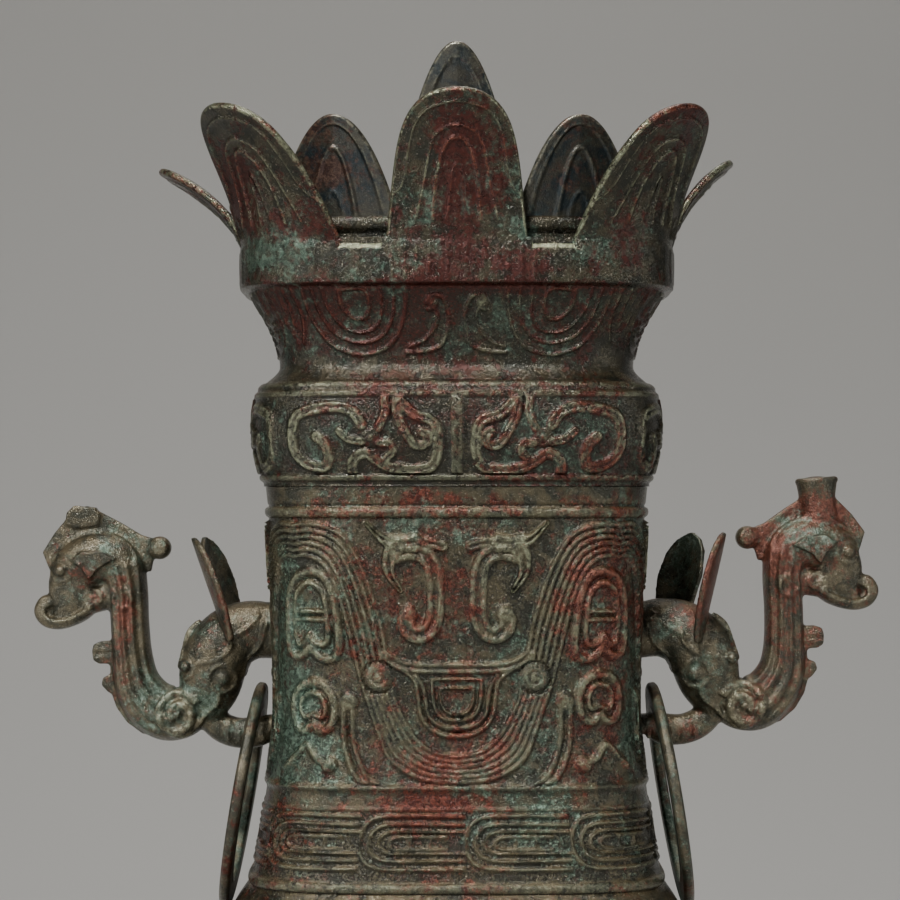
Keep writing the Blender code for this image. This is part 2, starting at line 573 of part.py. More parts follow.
def build_lid(material):
    """Cap with a tongue that enters the mouth, a flared crown, an inner collar and two rings of petals."""
    half = lid_half_width
    mouth_inner = body_half_width(RIM_LEVEL - TONGUE_DEPTH)
    tongue_outer = WALL + TONGUE_CLEARANCE
    tongue_inner = tongue_outer + TONGUE_WALL
    tongue_foot = RIM_LEVEL - TONGUE_DEPTH
    crown = 0.5 * CROWN_WIDTH
    collar_outer = COLLAR_INSET
    collar_inner = COLLAR_INSET + COLLAR_WALL
    web = CROWN_FOOT + 0.0030
    ceiling = WAIST_LEVEL - WALL
    rows = [(half(ceiling), WALL + 0.004, ceiling)]
    for level in (LID_BAND_TOP, LID_FOOT + 0.6 * LID_BAND_HEIGHT, LID_FOOT + 0.15 * LID_BAND_HEIGHT):
        rows.append((half(level), WALL, level))
    rows += [(mouth_inner, tongue_inner, LID_FOOT), (mouth_inner, tongue_inner, tongue_foot),
             (mouth_inner, tongue_outer, tongue_foot), (mouth_inner, tongue_outer, LID_FOOT)]
    rows.append((half(LID_FOOT), 0.0, LID_FOOT))
    rows += ridge_rows(LID_FOOT + 0.0045, 0.0022, 0.5 * RIDGE_PROUD, half)
    for level in (LID_FOOT + 0.35 * LID_BAND_HEIGHT, LID_FOOT + 0.6 * LID_BAND_HEIGHT,
                  LID_FOOT + 0.85 * LID_BAND_HEIGHT):
        rows.append((half(level), 0.0, level))
    rows += ridge_rows(LID_BAND_TOP, 0.0016, 0.5 * RIDGE_PROUD, half)
    rows += ridge_rows(LID_BAND_TOP + 0.0038, 0.0016, 0.5 * RIDGE_PROUD, half)
    for level in (WAIST_LEVEL, WAIST_LEVEL + 0.5 * CROWN_TAPER_HEIGHT, CROWN_FOOT - 0.0015,
                  CROWN_FOOT + 0.0005, CROWN_TOP - 0.0040):
        rows.append((half(level), 0.0, level))
    rows += [(crown, 0.0010, CROWN_TOP), (crown, WALL, CROWN_TOP), (crown, WALL, web),
             (crown, collar_outer, web),
             (crown, collar_outer, COLLAR_TOP - COLLAR_LIP_HEIGHT - 0.001),
             (crown, collar_outer - COLLAR_LIP_OVERHANG, COLLAR_TOP - COLLAR_LIP_HEIGHT),
             (crown, collar_outer - COLLAR_LIP_OVERHANG, COLLAR_TOP),
             (crown, collar_inner, COLLAR_TOP), (crown, collar_inner, CROWN_FOOT),
             (half(CROWN_FOOT - 0.003), WALL, CROWN_FOOT - 0.003),
             (half(WAIST_LEVEL + 0.5 * CROWN_TAPER_HEIGHT), WALL, WAIST_LEVEL + 0.5 * CROWN_TAPER_HEIGHT),
             (half(WAIST_LEVEL), WALL + 0.001, WAIST_LEVEL + 0.003), (half(WAIST_LEVEL), WALL + 0.004, WAIST_LEVEL)]
    body = loft("lid", rows, material)
    petals = []
    for side in range(4):
        facing = side % 2 == 0
        petals.append(petal("petal", crown, 0.0, side, 0.0,
                            FRONT_PETAL_WIDTH if facing else SIDE_PETAL_WIDTH,
                            FRONT_PETAL_RISE if facing else SIDE_PETAL_RISE[side],
                            FRONT_PETAL_FLARE if facing else SIDE_PETAL_FLARE[side],
                            True, CROWN_TOP, material))
        petals.append(petal("petal", crown, 0.0, side, AT_CORNER, CORNER_PETAL_WIDTH, CORNER_PETAL_RISE,
                            CORNER_PETAL_FLARE[side], True, CROWN_TOP, material))
        if facing:
            petals.append(petal("petal", crown, COLLAR_INSET, side, 0.0, INNER_TALL_WIDTH, INNER_TALL_RISE,
                                INNER_PETAL_FLARE, False, COLLAR_TOP, material))
            for hand in (-1, 1):
                petals.append(petal("petal", crown, COLLAR_INSET, side, hand * INNER_LOW_OFFSET,
                                    INNER_LOW_WIDTH, INNER_LOW_RISE, INNER_PETAL_FLARE, False,
                                    COLLAR_TOP, material))
        else:
            petals.append(petal("petal", crown, COLLAR_INSET, side, 0.0, INNER_LOW_WIDTH, INNER_SIDE_RISE,
                                INNER_PETAL_FLARE, False, COLLAR_TOP, material))
    return union("lid", [body] + petals + lid_lines(material))


def sweep(name, spine, in_plane, thickness, material, sides=8):
    """Rounded bar in the handle's plane: spine of (out, up), with a half width and half thickness each."""
    spine = np.asarray(spine, float)
    ahead = np.gradient(spine, axis=0)
    ahead /= np.linalg.norm(ahead, axis=1, keepdims=True)
    across = np.stack([-ahead[:, 1], ahead[:, 0]], axis=1)
    angles = 2 * pi * (np.arange(sides) + 0.5) / sides
    c, s = np.cos(angles), np.sin(angles)
    c, s = np.sign(c) * np.abs(c) ** 0.7, np.sign(s) * np.abs(s) ** 0.7
    points, faces = [], []
    for place, side_way, half, depth in zip(spine, across, in_plane, thickness):
        for k in range(sides):
            flat = place + side_way * half * c[k]
            points.append((flat[0], depth * s[k], flat[1]))
    for i in range(len(spine) - 1):
        for k in range(sides):
            n = (k + 1) % sides
            faces.append((sides * i + k, sides * i + n, sides * (i + 1) + n, sides * (i + 1) + k))
    faces.append(tuple(range(sides))[::-1])
    faces.append(tuple(range(sides * (len(spine) - 1), sides * len(spine))))
    return make_object(name, points, faces, material)


def plate(name, outline, near, far, material):
    """Flat piece in the handle's plane, from one depth to another."""
    count = len(outline)
    points = [(p, near, q) for p, q in outline] + [(p, far, q) for p, q in outline]
    faces = [tuple(range(count))[::-1], tuple(range(count, 2 * count))]
    faces += [(k, (k + 1) % count, count + (k + 1) % count, count + k) for k in range(count)]
    return make_object(name, points, faces, material)


def disc(name, place, radius, reach, material, sides=8):
    """Round boss that stands out on both faces of the handle."""
    return plate(name, circle(place, radius, sides)[:-1], -reach, reach, material)


def leaf(name, foot, tip, width, thickness, beside, splay, material):
    """Upright leaf-shaped ear: a plate across the handle's plane, turned a little by splay."""
    up = np.array([tip[0] - foot[0], 0.0, tip[1] - foot[1]])
    length = np.linalg.norm(up)
    up /= length
    across = np.array([sin(splay), cos(splay), 0.0])
    normal = np.cross(up, across)
    normal /= np.linalg.norm(normal)
    centre = np.array([foot[0], beside, foot[1]])
    shares = [(0.0, 0.30), (0.25, 0.46), (0.55, 0.50), (0.80, 0.36), (1.0, 0.10)]
    edge = [(-w, t) for t, w in shares] + [(w, t) for t, w in shares[::-1]]
    ring = [centre + across * w * width + up * t * length for w, t in edge]
    count = len(ring)
    points = [p + normal * 0.5 * thickness for p in ring] + [p - normal * 0.5 * thickness for p in ring]
    faces = [tuple(range(count)), tuple(range(count, 2 * count))[::-1]]
    faces += [(k, (k + 1) % count, count + (k + 1) % count, count + k) for k in range(count)]
    return make_object(name, points, faces, material)


CREST = [(107.6, 37.4), (95.9, 53.0), (87.0, 58.5), (82.4, 56.0), (62.6, 44.6), (55.0, 42.0), (58.5, 27.0),
         (66.0, 30.0), (84.0, 40.0), (98.0, 32.0), (104.5, 29.0)]


def handle_shapes(side, material):
    """A beast head on an arm; its trunk drops, turns up and ends in an elephant's head. Drawn in mm."""
    tip_out, tip_up = SNOUT_TIP
    shapes = [
        sweep("trunk", [(40, -33), (46, -36), (53, -35.5), (60, -31), (65.5, -22), (67.5, -10), (68.5, 5),
                        (69, 20), (71, 30)],
              [10, 11.5, 12.5, 11.8, 10.5, 9.9, 9.8, 9.8, 10], [9.5] * 9, material),
        sweep("head", [(6, 0.5), (14, 0.5), (23, -3), (30, -12), (33, -24), (37, -35)],
              [14, 13.8, 15, 15.5, 14.5, 11.0], [12, 13, 15, 16, 14.5, 10.5], material),
        sweep("arm", [(-14, 0.5), (-4, 0.5), (10, 0.5)], [14.5, 14.5, 13.5], [13, 13, 12.5], material),
        sweep("link", [(34, -38), (27, -43), (19, -45.4), (10, -44.4), (4.5, -42.0), (-14, -42.0)],
              [5.5, 6.8, 7.0, 7.0, 4.9, 4.9], [7.5, 7.5, 7.0, 7.0, 7.0, 7.5], material),
        sweep("dome", [(69, 18), (72, 29), (80, 35), (90, 32.5), (97, 25), (98.5, 14)],
              [9.4, 11.5, 12, 11.5, 8.8, 6.2], [9, 10.5, 11.5, 11, 8.5, 6], material),
        sweep("snout", [(97.5, 20), (97, 11), (100.5, 6), (tip_out - 3.4, tip_up - 4.8), (tip_out, tip_up),
                        (tip_out - 2.4, tip_up + 5)],
              [6.5, 5.0, 4.0, 3.4, SNOUT_TIP_RADIUS, 2.2], [6, 5.2, 4.5, 4.2, 4.2, 4.0], material),
        disc("curl", (tip_out - 5.2, tip_up + 1.5), 4.4, 2.6, material),
        sweep("jaw", [(76, 18), (86, 14), (96, 8.5)], [5.5, 4.5, 3.0], [7, 6.5, 4.0], material),
        plate("crest", CREST, -2.2, 2.2, material),
        disc("crest_knob", (54.5, 38.3), 5.0, 4.6, material),
        disc("eye", (98.2, 28.8), 3.4, 10.4, material, 8),
        disc("cheek", (71, 19.5), 3.8, 10.8, material, 8),
        disc("spiral", (45.5, -36.9), 9.4, 11.6, material, 10),
        disc("beast_eye", (38.5, -13), 3.8, 17.0, material, 8),
        disc("beast_disc", (27.5, -20.7), 4.6, 16.4, material, 8),
        plate("upper_knob", [(76, -13), (83.5, -12.5), (86.0, -6), (82.5, -2), (76, -1.5)], -3.4, 3.4, material),
        plate("lower_knob", [(73, -27.5), (79.5, -26.2), (82.2, -21.5), (79.8, -18.6), (74, -18)],
              -3.0, 3.0, material),
        plate("ear_flap", [(76.0, 33.5), (89.5, 37.5), (91, 33), (84, 25.2), (81.5, 26.5)],
              -13.2, 13.2, material),
    ]
    for hand in (-1, 1):
        shapes.append(leaf("ear", (24.5, -4.0), (38.5, 43.0), 26.0, 4.2, hand * 17.0, -hand * radians(14),
                           material))
    if side > 0:
        shapes.append(plate("horn", [(79.0, 44), (78.8, 56), (78.2, 60.5), (80.6, 63.2), (89.0, 63.6),
                                     (96.2, 62.0), (96.8, 59.0), (95.4, 51.4), (96.4, 46)], -8.2, 8.2, material))
    return shapes


def handle_placing(side):
    """From the drawn handle to its place: tilted about its root, sized and turned to its side.

    Its root stays at the neck's wall, and its reach is sized so that the snout ends at the overall width.
    """
    level = PANEL_FOOT + HANDLE_LEVEL
    root = 0.5 * NECK_WIDTH - HANDLE_ROOT_SINK[side]
    tilt = radians(HANDLE_TILT_DEG[side])
    tip_out, tip_up = SNOUT_TIP
    tip = tip_out * cos(tilt) - tip_up * sin(tilt) + SNOUT_TIP_RADIUS
    out_scale = (0.5 * HANDLES_WIDTH - root) / tip
    up_scale = HANDLE_HEIGHT / HANDLE_DRAWN_HEIGHT
    turn = Matrix.Rotation(0.0 if side > 0 else pi, 4, "Z")
    size = Matrix.Diagonal((out_scale, up_scale, up_scale, 1.0))
    return Matrix.Translation((0, 0, level)) @ turn @ Matrix.Translation((root, 0, 0)) @ size \
        @ Matrix.Rotation(-tilt, 4, "Y")


def wall_cutter(material):
    """The vessel's own form, larger by the fit gap, that trims the handles' roots."""
    rows = []
    for share in (-0.3, 0.0, 0.16, 0.40, 0.70, 1.0):
        level = PANEL_FOOT + share * PANEL_HEIGHT
        rows.append((body_half_width(level), -FIT_GAP, level))
    return loft("wall_cutter", rows, material)


def build_handle(side, material):
    shapes = handle_shapes(side, material)
    placing = handle_placing(side)
    for shape in shapes:
        shape.data.transform(placing)
    name = "handle_right" if side > 0 else "handle_left"
    return union(name, shapes, [wall_cutter(material)])


def ring_pivot(side):
    """Middle of the ring's top, over the handle's lower link and clear of the wall as it turns."""
    level = PANEL_FOOT + HANDLE_LEVEL - RING_DROP
    return Vector((side * (body_half_width(level) + RING_WALL_GAP[side]), 0.0, level))


def ring_lean(side):
    """Lean at which the ring's foot just clears the belly, found by stepping outward."""
    pivot = ring_pivot(side)
    reach = RING_OUTER_DIAMETER - 0.5 * RING_BAND_WIDTH
    for tenth in range(200):
        lean = radians(0.1 * tenth)
        gaps = []
        for down in np.linspace(0.5 * reach, reach, 12):
            out = abs(pivot.x) + down * sin(lean) - 0.5 * RING_THICKNESS * cos(lean)
            level = pivot.z - down * cos(lean) - 0.5 * RING_THICKNESS * sin(lean)
            gaps.append(out - body_half_width(level))
        if min(gaps) >= FIT_GAP:
            return lean
    return lean


def build_ring(side, material):
    """Flat ring that leans on the belly."""
    name = "ring_right" if side > 0 else "ring_left"
    outer = 0.5 * RING_OUTER_DIAMETER
    inner = outer - RING_BAND_WIDTH
    middle = 0.5 * (outer + inner)
    half = 0.5 * RING_THICKNESS
    profile = [(inner, -half), (outer, -half), (outer, half), (inner, half)]
    steps = 24
    points, faces = [], []
    for i in range(steps):
        a = 2 * pi * i / steps
        points += [(x, r * sin(a), r * cos(a) - middle) for r, x in profile]
    count = len(profile)
    for i in range(steps):
        n = (i + 1) % steps
        faces += [(count * i + k, count * n + k, count * n + (k + 1) % count, count * i + (k + 1) % count)
                  for k in range(count)]
    ring = make_object(name, points, faces, material)
    lean = Matrix.Rotation(-side * ring_lean(side), 4, "Y")
    ring.data.transform(Matrix.Translation(ring_pivot(side)) @ lean)
    return ring


def finish(made):
    for piece in made:
        piece.data.shade_smooth()
        piece.data.set_sharp_from_angle(angle=radians(35))


clear_scene()
body_bronze = bronze("bronze_body", COLOURS["vessel"])
lid_bronze = bronze("bronze_lid", COLOURS["lid"])
handle_bronze = bronze("bronze_handle", COLOURS["handle"])
ring_bronze = bronze("bronze_ring", COLOURS["ring"])
pieces = [build_vessel(body_bronze), build_lid(lid_bronze)]
for hand in (-1, 1):
    pieces.append(build_handle(hand, handle_bronze))
    pieces.append(build_ring(hand, ring_bronze))
finish(pieces)
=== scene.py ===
"""Looks of a cast bronze ritual wine vessel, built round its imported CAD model.

Metres, +Z up; the front faces -Y and the origin is the middle of the foot's underside.
"""

import bpy
import numpy as np
from math import atan, pi, radians
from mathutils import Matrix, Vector
from mathutils.bvhtree import BVHTree


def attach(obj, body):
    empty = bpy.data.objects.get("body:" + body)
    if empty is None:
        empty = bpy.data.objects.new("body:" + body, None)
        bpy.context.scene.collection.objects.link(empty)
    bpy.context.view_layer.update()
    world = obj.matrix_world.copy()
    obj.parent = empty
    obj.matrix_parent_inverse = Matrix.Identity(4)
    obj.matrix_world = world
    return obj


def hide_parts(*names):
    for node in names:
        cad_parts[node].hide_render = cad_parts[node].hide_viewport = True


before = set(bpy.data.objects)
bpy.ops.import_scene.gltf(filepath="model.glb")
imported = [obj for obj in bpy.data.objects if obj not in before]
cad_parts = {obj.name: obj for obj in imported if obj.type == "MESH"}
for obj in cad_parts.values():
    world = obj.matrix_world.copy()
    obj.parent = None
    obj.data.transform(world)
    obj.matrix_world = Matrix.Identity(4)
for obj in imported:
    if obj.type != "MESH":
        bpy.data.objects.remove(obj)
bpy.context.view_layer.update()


# Wave panel on the vessel's neck. The vessel is one hollow bronze casting of rounded-square plan. On each
# side of its neck, ribbed waves swing down from the corners round a long face, cast in one with the wall.
MM = 0.001
PLAN_POWER = 4
DEPTH_SHARE = 0.78
WALL = 0.0036
SKIN = 0.0014
FOOT_HEIGHT = 0.046
PANEL_START = 0.2296
PANEL_FOOT = 0.2325
PANEL_END = 0.3474
PANEL_TOP = 0.3475
RIM_LEVEL = 0.3610
PANEL_STEP = 0.00064
PANEL_GROUND_TONE = 0.28
PANEL_TONE_RISE = 0.55
NEUTRAL_TONE = 0.6
SHARP_ANGLE = 70
# Level and full width, in metres, at a few places up the vessel's outline.
BODY_OUTLINE = [(0, 0.215), (0.010, 0.215), (FOOT_HEIGHT, 0.189), (0.06775, 0.228), (0.1069, 0.249),
                (0.173, 0.2016), (0.191, 0.1805), (PANEL_FOOT, 0.167), (0.2647, 0.160),
                (PANEL_TOP, 0.1664), (RIM_LEVEL, 0.169)]


def quarter_plan(samples=1601):
    """A quarter of the plan for half width 1, from the middle of the front to the middle of the right side.

    Its points lie on |x|^4 + |y / depth share|^4 = 1. With x and y come the running length and the corner's.
    """
    share = np.linspace(0, 1, samples)
    angle = 0.5 * pi * share * share * (3 - 2 * share)
    x = np.sin(angle) ** (2 / PLAN_POWER)
    y = DEPTH_SHARE * np.cos(angle) ** (2 / PLAN_POWER)
    length = np.concatenate([[0.0], np.cumsum(np.hypot(np.diff(x), np.diff(y)))])
    return length, x, y, length[samples // 2]


def round_plan(cells, closed=True):
    """Columns round the plan, front then right, back and left: place, outward way and share along its side.

    The share runs from -1 at a side's left corner to 1 at its right corner, seen from outside. The outward
    way is the plan's gradient: x^3 and y^3 / depth share^4, brought to length 1.
    """
    length, x, y, corner = quarter_plan()
    used = [side for side in range(4) if cells[side]]
    parts = []
    for side in used:
        facing = side % 2 == 0
        open_end = side == used[-1] and not closed
        share = np.linspace(-1, 1, cells[side] + 1)[:cells[side] + open_end]
        reach = np.abs(share) * (corner if facing else length[-1] - corner)
        reach = reach if facing else length[-1] - reach
        px, py = np.interp(reach, length, x), np.interp(reach, length, y)
        sign = np.sign(share)
        across, out = (sign * px, -py) if facing else (px, sign * py)
        if side >= 2:
            across, out = -across, -out
        parts.append((across, out, share, np.full(len(share), side)))
    ux, uy, share, side = (np.concatenate(column) for column in zip(*parts))
    nx, ny = ux ** (PLAN_POWER - 1), uy ** (PLAN_POWER - 1) / DEPTH_SHARE ** PLAN_POWER
    size = np.hypot(nx, ny)
    return {"x": ux, "y": uy, "nx": nx / size, "ny": ny / size, "share": share, "side": side,
            "closed": closed}


def through(outline, level):
    """Monotone cubic through pairs of level and value, upright at each that is widest or narrowest."""
    levels, values = np.array(outline, float).T
    steps = np.diff(levels)
    rises = np.diff(values) / steps
    slopes = np.zeros(len(values))
    same_way = rises[:-1] * rises[1:] > 0
    pairs = np.where(same_way, rises[:-1] + rises[1:], 1.0)
    slopes[1:-1] = np.where(same_way, 2 * rises[:-1] * rises[1:] / pairs, 0.0)
    slopes[0], slopes[-1] = rises[0], rises[-1]
    k = np.clip(np.searchsorted(levels, level) - 1, 0, len(steps) - 1)
    t = np.clip((level - levels[k]) / steps[k], 0, 1)
    return ((1 + 2 * t) * (1 - t) ** 2 * values[k] + t * (1 - t) ** 2 * steps[k] * slopes[k]
            + t * t * (3 - 2 * t) * values[k + 1] + t * t * (t - 1) * steps[k] * slopes[k + 1])


def body_half(level):
    """Half the vessel's width at a level, from the foot to the rim."""
    return 0.5 * through(BODY_OUTLINE, level)


def wall_points(plan, levels, half, lift):
    """The plan scaled to each level's half width, then moved out along the wall's normal by lift."""
    slope = np.gradient(half, levels)[:, None]
    across = plan["x"] * plan["nx"] + plan["y"] * plan["ny"]
    size = np.sqrt(1 + (slope * across) ** 2)
    x = half[:, None] * plan["x"] + lift * plan["nx"] / size
    y = half[:, None] * plan["y"] + lift * plan["ny"] / size
    z = levels[:, None] - lift * slope * across / size
    return np.stack([x, y, z], axis=2)


def side_grid(plan, levels, corner, foot):
    """Millimetres from the middle of a side, where its corner lies at corner, and millimetres above foot."""
    u = np.abs(plan["share"])[None, :] * corner + 0 * levels[:, None]
    return u, (levels[:, None] - foot) / MM + 0 * u


def add_mesh(name, points, faces, tone=None):
    """Mesh object from an array of points. Tone is each point's relief in mm, which sets its colour."""
    mesh = bpy.data.meshes.new(name)
    mesh.from_pydata(points.reshape(-1, 3), [], faces)
    if tone is not None:
        # The relief attribute carries the tone; on petal rims and notch chamfers it is raised to paint a
        # painted highlight.
        mesh.attributes.new("relief", "FLOAT", "POINT").data.foreach_set("value", tone.ravel())
    mesh.shade_smooth()
    mesh.set_sharp_from_angle(angle=radians(SHARP_ANGLE))
    made = bpy.data.objects.new(name, mesh)
    bpy.context.scene.collection.objects.link(made)
    return made


def grid_faces(rows, columns, rows_close, columns_close):
    """Quads of a grid of points, wrapped round in either way; an open strip is capped at its two ends."""
    r = np.arange(rows if rows_close else rows - 1)[:, None]
    c = np.arange(columns if columns_close else columns - 1)[None, :]
    up, along = (r + 1) % rows, (c + 1) % columns
    quads = np.stack([r * columns + c, r * columns + along, up * columns + along, up * columns + c], axis=2)
    faces = quads.reshape(-1, 4).tolist()
    if rows_close and not columns_close:
        faces.append((np.arange(rows)[::-1] * columns).tolist()[::-1])
        faces.append((np.arange(rows) * columns + columns - 1).tolist()[::-1])
    return faces


def wall_piece(name, plan, levels, half, height, tone, inner_rows=6):
    """A length of the wall as a closed shell: relief in mm outside, and plain inside at the skin's depth."""
    outside = wall_points(plan, levels, half, height * MM)
    back = np.linspace(levels[-1], levels[0], inner_rows)
    inside = wall_points(plan, back, np.interp(back, levels, half), np.full((inner_rows, 1), -SKIN))
    inside[:, :, 2] = back[:, None]
    points = np.concatenate([outside, inside])
    tone = np.concatenate([tone, np.full(inside.shape[:2], NEUTRAL_TONE)])
    faces = grid_faces(len(points), points.shape[1], True, plan["closed"])
    return add_mesh(name, points, faces, tone)


def smooth_line(points, steps=6):
    """Smooth curve through a few points: cubics that pass each one along the line of its neighbours."""
    points = np.asarray(points, float)
    ends = np.vstack([2 * points[0] - points[1], points, 2 * points[-1] - points[-2]])
    a, b, c, d = ends[:-3, None], ends[1:-2, None], ends[2:-1, None], ends[3:, None]
    t = np.linspace(0, 1, steps, endpoint=False)[None, :, None]
    curve = 0.5 * (2 * b + (c - a) * t + (2 * a - 5 * b + 4 * c - d) * t * t
                   + (3 * b - a - 3 * c + d) * t ** 3)
    return np.vstack([curve.reshape(-1, points.shape[1]), points[-1:]])


def from_line(u, v, points, reach, steps=6):
    """Distance of each grid point from a smooth line, and how far along it; only within reach."""
    line = smooth_line(points, steps)
    near = ((u > line[:, 0].min() - reach) & (u < line[:, 0].max() + reach)
            & (v > line[:, 1].min() - reach) & (v < line[:, 1].max() + reach))
    pu, pv = u[near], v[near]
    best = np.full(pu.shape, 1e9)
    along = np.zeros(pu.shape)
    for i, (a, b) in enumerate(zip(line[:-1], line[1:])):
        way = b - a
        t = np.clip(((pu - a[0]) * way[0] + (pv - a[1]) * way[1]) / (way @ way + 1e-12), 0, 1)
        distance = np.hypot(pu - a[0] - t * way[0], pv - a[1] - t * way[1])
        along = np.where(distance < best, (i + t) / (len(line) - 1), along)
        best = np.minimum(best, distance)
    return near, best, along


def ridge(height, u, v, points, width, proud, taper=0.0):
    """Raises a round-backed line: a parabola across, thinner toward its end by taper."""
    near, distance, along = from_line(u, v, points, width)
    half = 0.5 * width * (1 - taper * along)
    rise = proud * (1 - taper * along) * np.clip(1 - (distance / half) ** 2, 0, 1)
    height[near] = np.maximum(height[near], rise)


def ribbon(height, u, v, points, width, proud, taper=0.0, cut=0.60):
    """Raises a ribbon of two round ridges. The groove between them is cut deep, as a share of the height."""
    near, distance, along = from_line(u, v, points, width)
    half = 0.5 * width * (1 - taper * along)
    t = np.clip(distance / half, 0, 1)
    rise = proud * np.sqrt(np.clip(1 - t ** 4, 0, 1)) * (1 - cut * np.exp(-((t - 0.10) / 0.17) ** 2))
    height[near] = np.maximum(height[near], rise)


def boss(height, u, v, place, radius, proud, eye=0.0):
    """Raises a dome. Eye is the depth of a ring sunk into it, just inside half its radius."""
    t = np.hypot(u - place[0], v - place[1]) / radius
    dome = proud * np.sqrt(np.clip(1 - t * t, 0, 1))
    dome -= eye * np.exp(-((t - 0.45) / 0.12) ** 2) * (t < 1)
    np.maximum(height, np.where(t < 1, dome, -1), out=height)


# Lines of the panel for one half of one side, in millimetres from its middle and above its foot.
PANEL_CORNER = 70.0
RIB_COUNT = 6
RIB_HIGH = [(73, 111.6), (62, 112.6), (51.6, 110), (45.8, 104.9), (41.7, 97.6), (38.5, 90), (35.3, 79.7),
            (32.5, 69.5), (30.5, 57.5), (29.5, 47), (26.5, 37), (22.5, 28.5), (17, 20.5), (9.5, 15.2),
            (0, 13.4)]
RIB_LOW = [(73, 97.8), (65, 99.2), (58.5, 97), (54, 92), (50.8, 85), (48.9, 79), (47, 71), (44.8, 61),
           (42.6, 51.5), (40.3, 43), (37.6, 35), (34, 25), (28, 12.5), (15.5, 4.6), (0, 2.6)]
HOOK = [(25, 99.4), (20, 101), (14.6, 99.8), (10.6, 95.6), (9.2, 88), (9, 80), (9.4, 73), (11.8, 67.4),
        (16.4, 65.2), (20.6, 67.4), (21.8, 71.6)]
HOOK_BULB = (20.8, 74.2)
BROW = [(5.8, 103), (12, 104.6), (20, 105.2), (28, 106.4)]
HORN_TIP = [(18, 104.4), (25, 104.2), (31, 106.4), (37.4, 112.8)]
TOOTH = [(26.4, 102), (28.4, 96.6), (28, 91), (23.8, 84.2)]
SHIELD_BAR = [(31, 56.6), (26.3, 53.4), (20, 51.6), (10, 51), (0, 51)]
SHIELD_EDGE = [(27, 52), (21.4, 49), (17.8, 45), (16.6, 38), (15.6, 31.4), (12, 25.8), (6, 22.8),
               (0, 22)]
SHIELD_CUP = [(17.6, 48), (14.6, 43.5), (13.4, 37), (12.6, 32), (9.4, 28), (5, 26), (0, 25.4)]
SHIELD_EYE = [(0, 46.4), (9.8, 46.2), (10.6, 43.6), (10.2, 37.4), (8.4, 32.2), (4.8, 29.4), (0, 28.8)]
SHIELD_PUPIL = [(0, 42.6), (6.4, 42.4), (7.2, 40.6), (6.8, 36.4), (5, 33.2), (2.6, 31.8), (0, 31.5)]
COMMA_HEAD = (46.8, 36.8)
COMMA_BACK = [(49, 34), (48.6, 22.4), (46.2, 13.1), (41.9, 4.9), (37.4, 2.2)]
COMMA_FRONT = [(45, 33), (44.4, 22), (41.6, 12.6), (37.4, 5), (32.6, 1.8)]
ARCH = [(63.6, 60.4), (60.6, 56.6), (56.4, 54.6), (51.8, 56.4), (50.6, 63), (51.6, 73), (52.8, 82),
        (56.4, 89.8), (62.6, 92.4), (69.8, 89.4), (74, 82), (75, 72), (75, 61), (72.4, 56.4),
        (67.6, 56.4), (63.6, 60.4)]
ARCH_INNER = [(64, 64.8), (61.4, 61.8), (57.4, 61), (55.4, 65), (55.8, 76), (57.4, 83.4), (63, 87.4),
              (68.8, 84), (70.6, 77), (70.8, 66), (69.4, 61.4), (66.4, 61.8), (64, 64.8)]
ARCH_BARS = ([(55.4, 75.2), (70.6, 75.2)], [(55.4, 71.6), (70.6, 71.6)])
CORNER_RING = [(62.4, 45), (57.4, 43), (53.6, 37.6), (53.2, 30), (55.6, 25.4), (59.4, 24.4),
               (62.6, 27.2), (66.2, 24.4), (70.4, 25.6), (72.6, 31), (72, 38.4), (68, 43.4), (62.4, 45)]
RING_INNER = [(62.4, 40.4), (58.8, 38.8), (57, 34), (58.4, 30), (62.6, 31), (66.8, 30), (68.6, 34),
              (67.2, 38.6), (62.4, 40.4)]
RIGHT_RING_LIFT = 3.6
SIDE_SHARE = 0.78
CARET = [(74.6, 8.4), (69.6, 13.4), (64.6, 18), (60, 12.8), (55.2, 10.4)]
CARET_BALL = (53.8, 10.0)
BOSS_PLACE = (33.6, 47.2)
BOSS_RADIUS = 6.6
BOSS_RING = 2.5
BOSS_CLEARING = 7.4
PANEL_LINES = (1.6, 114.4)
FILLET = 1.5


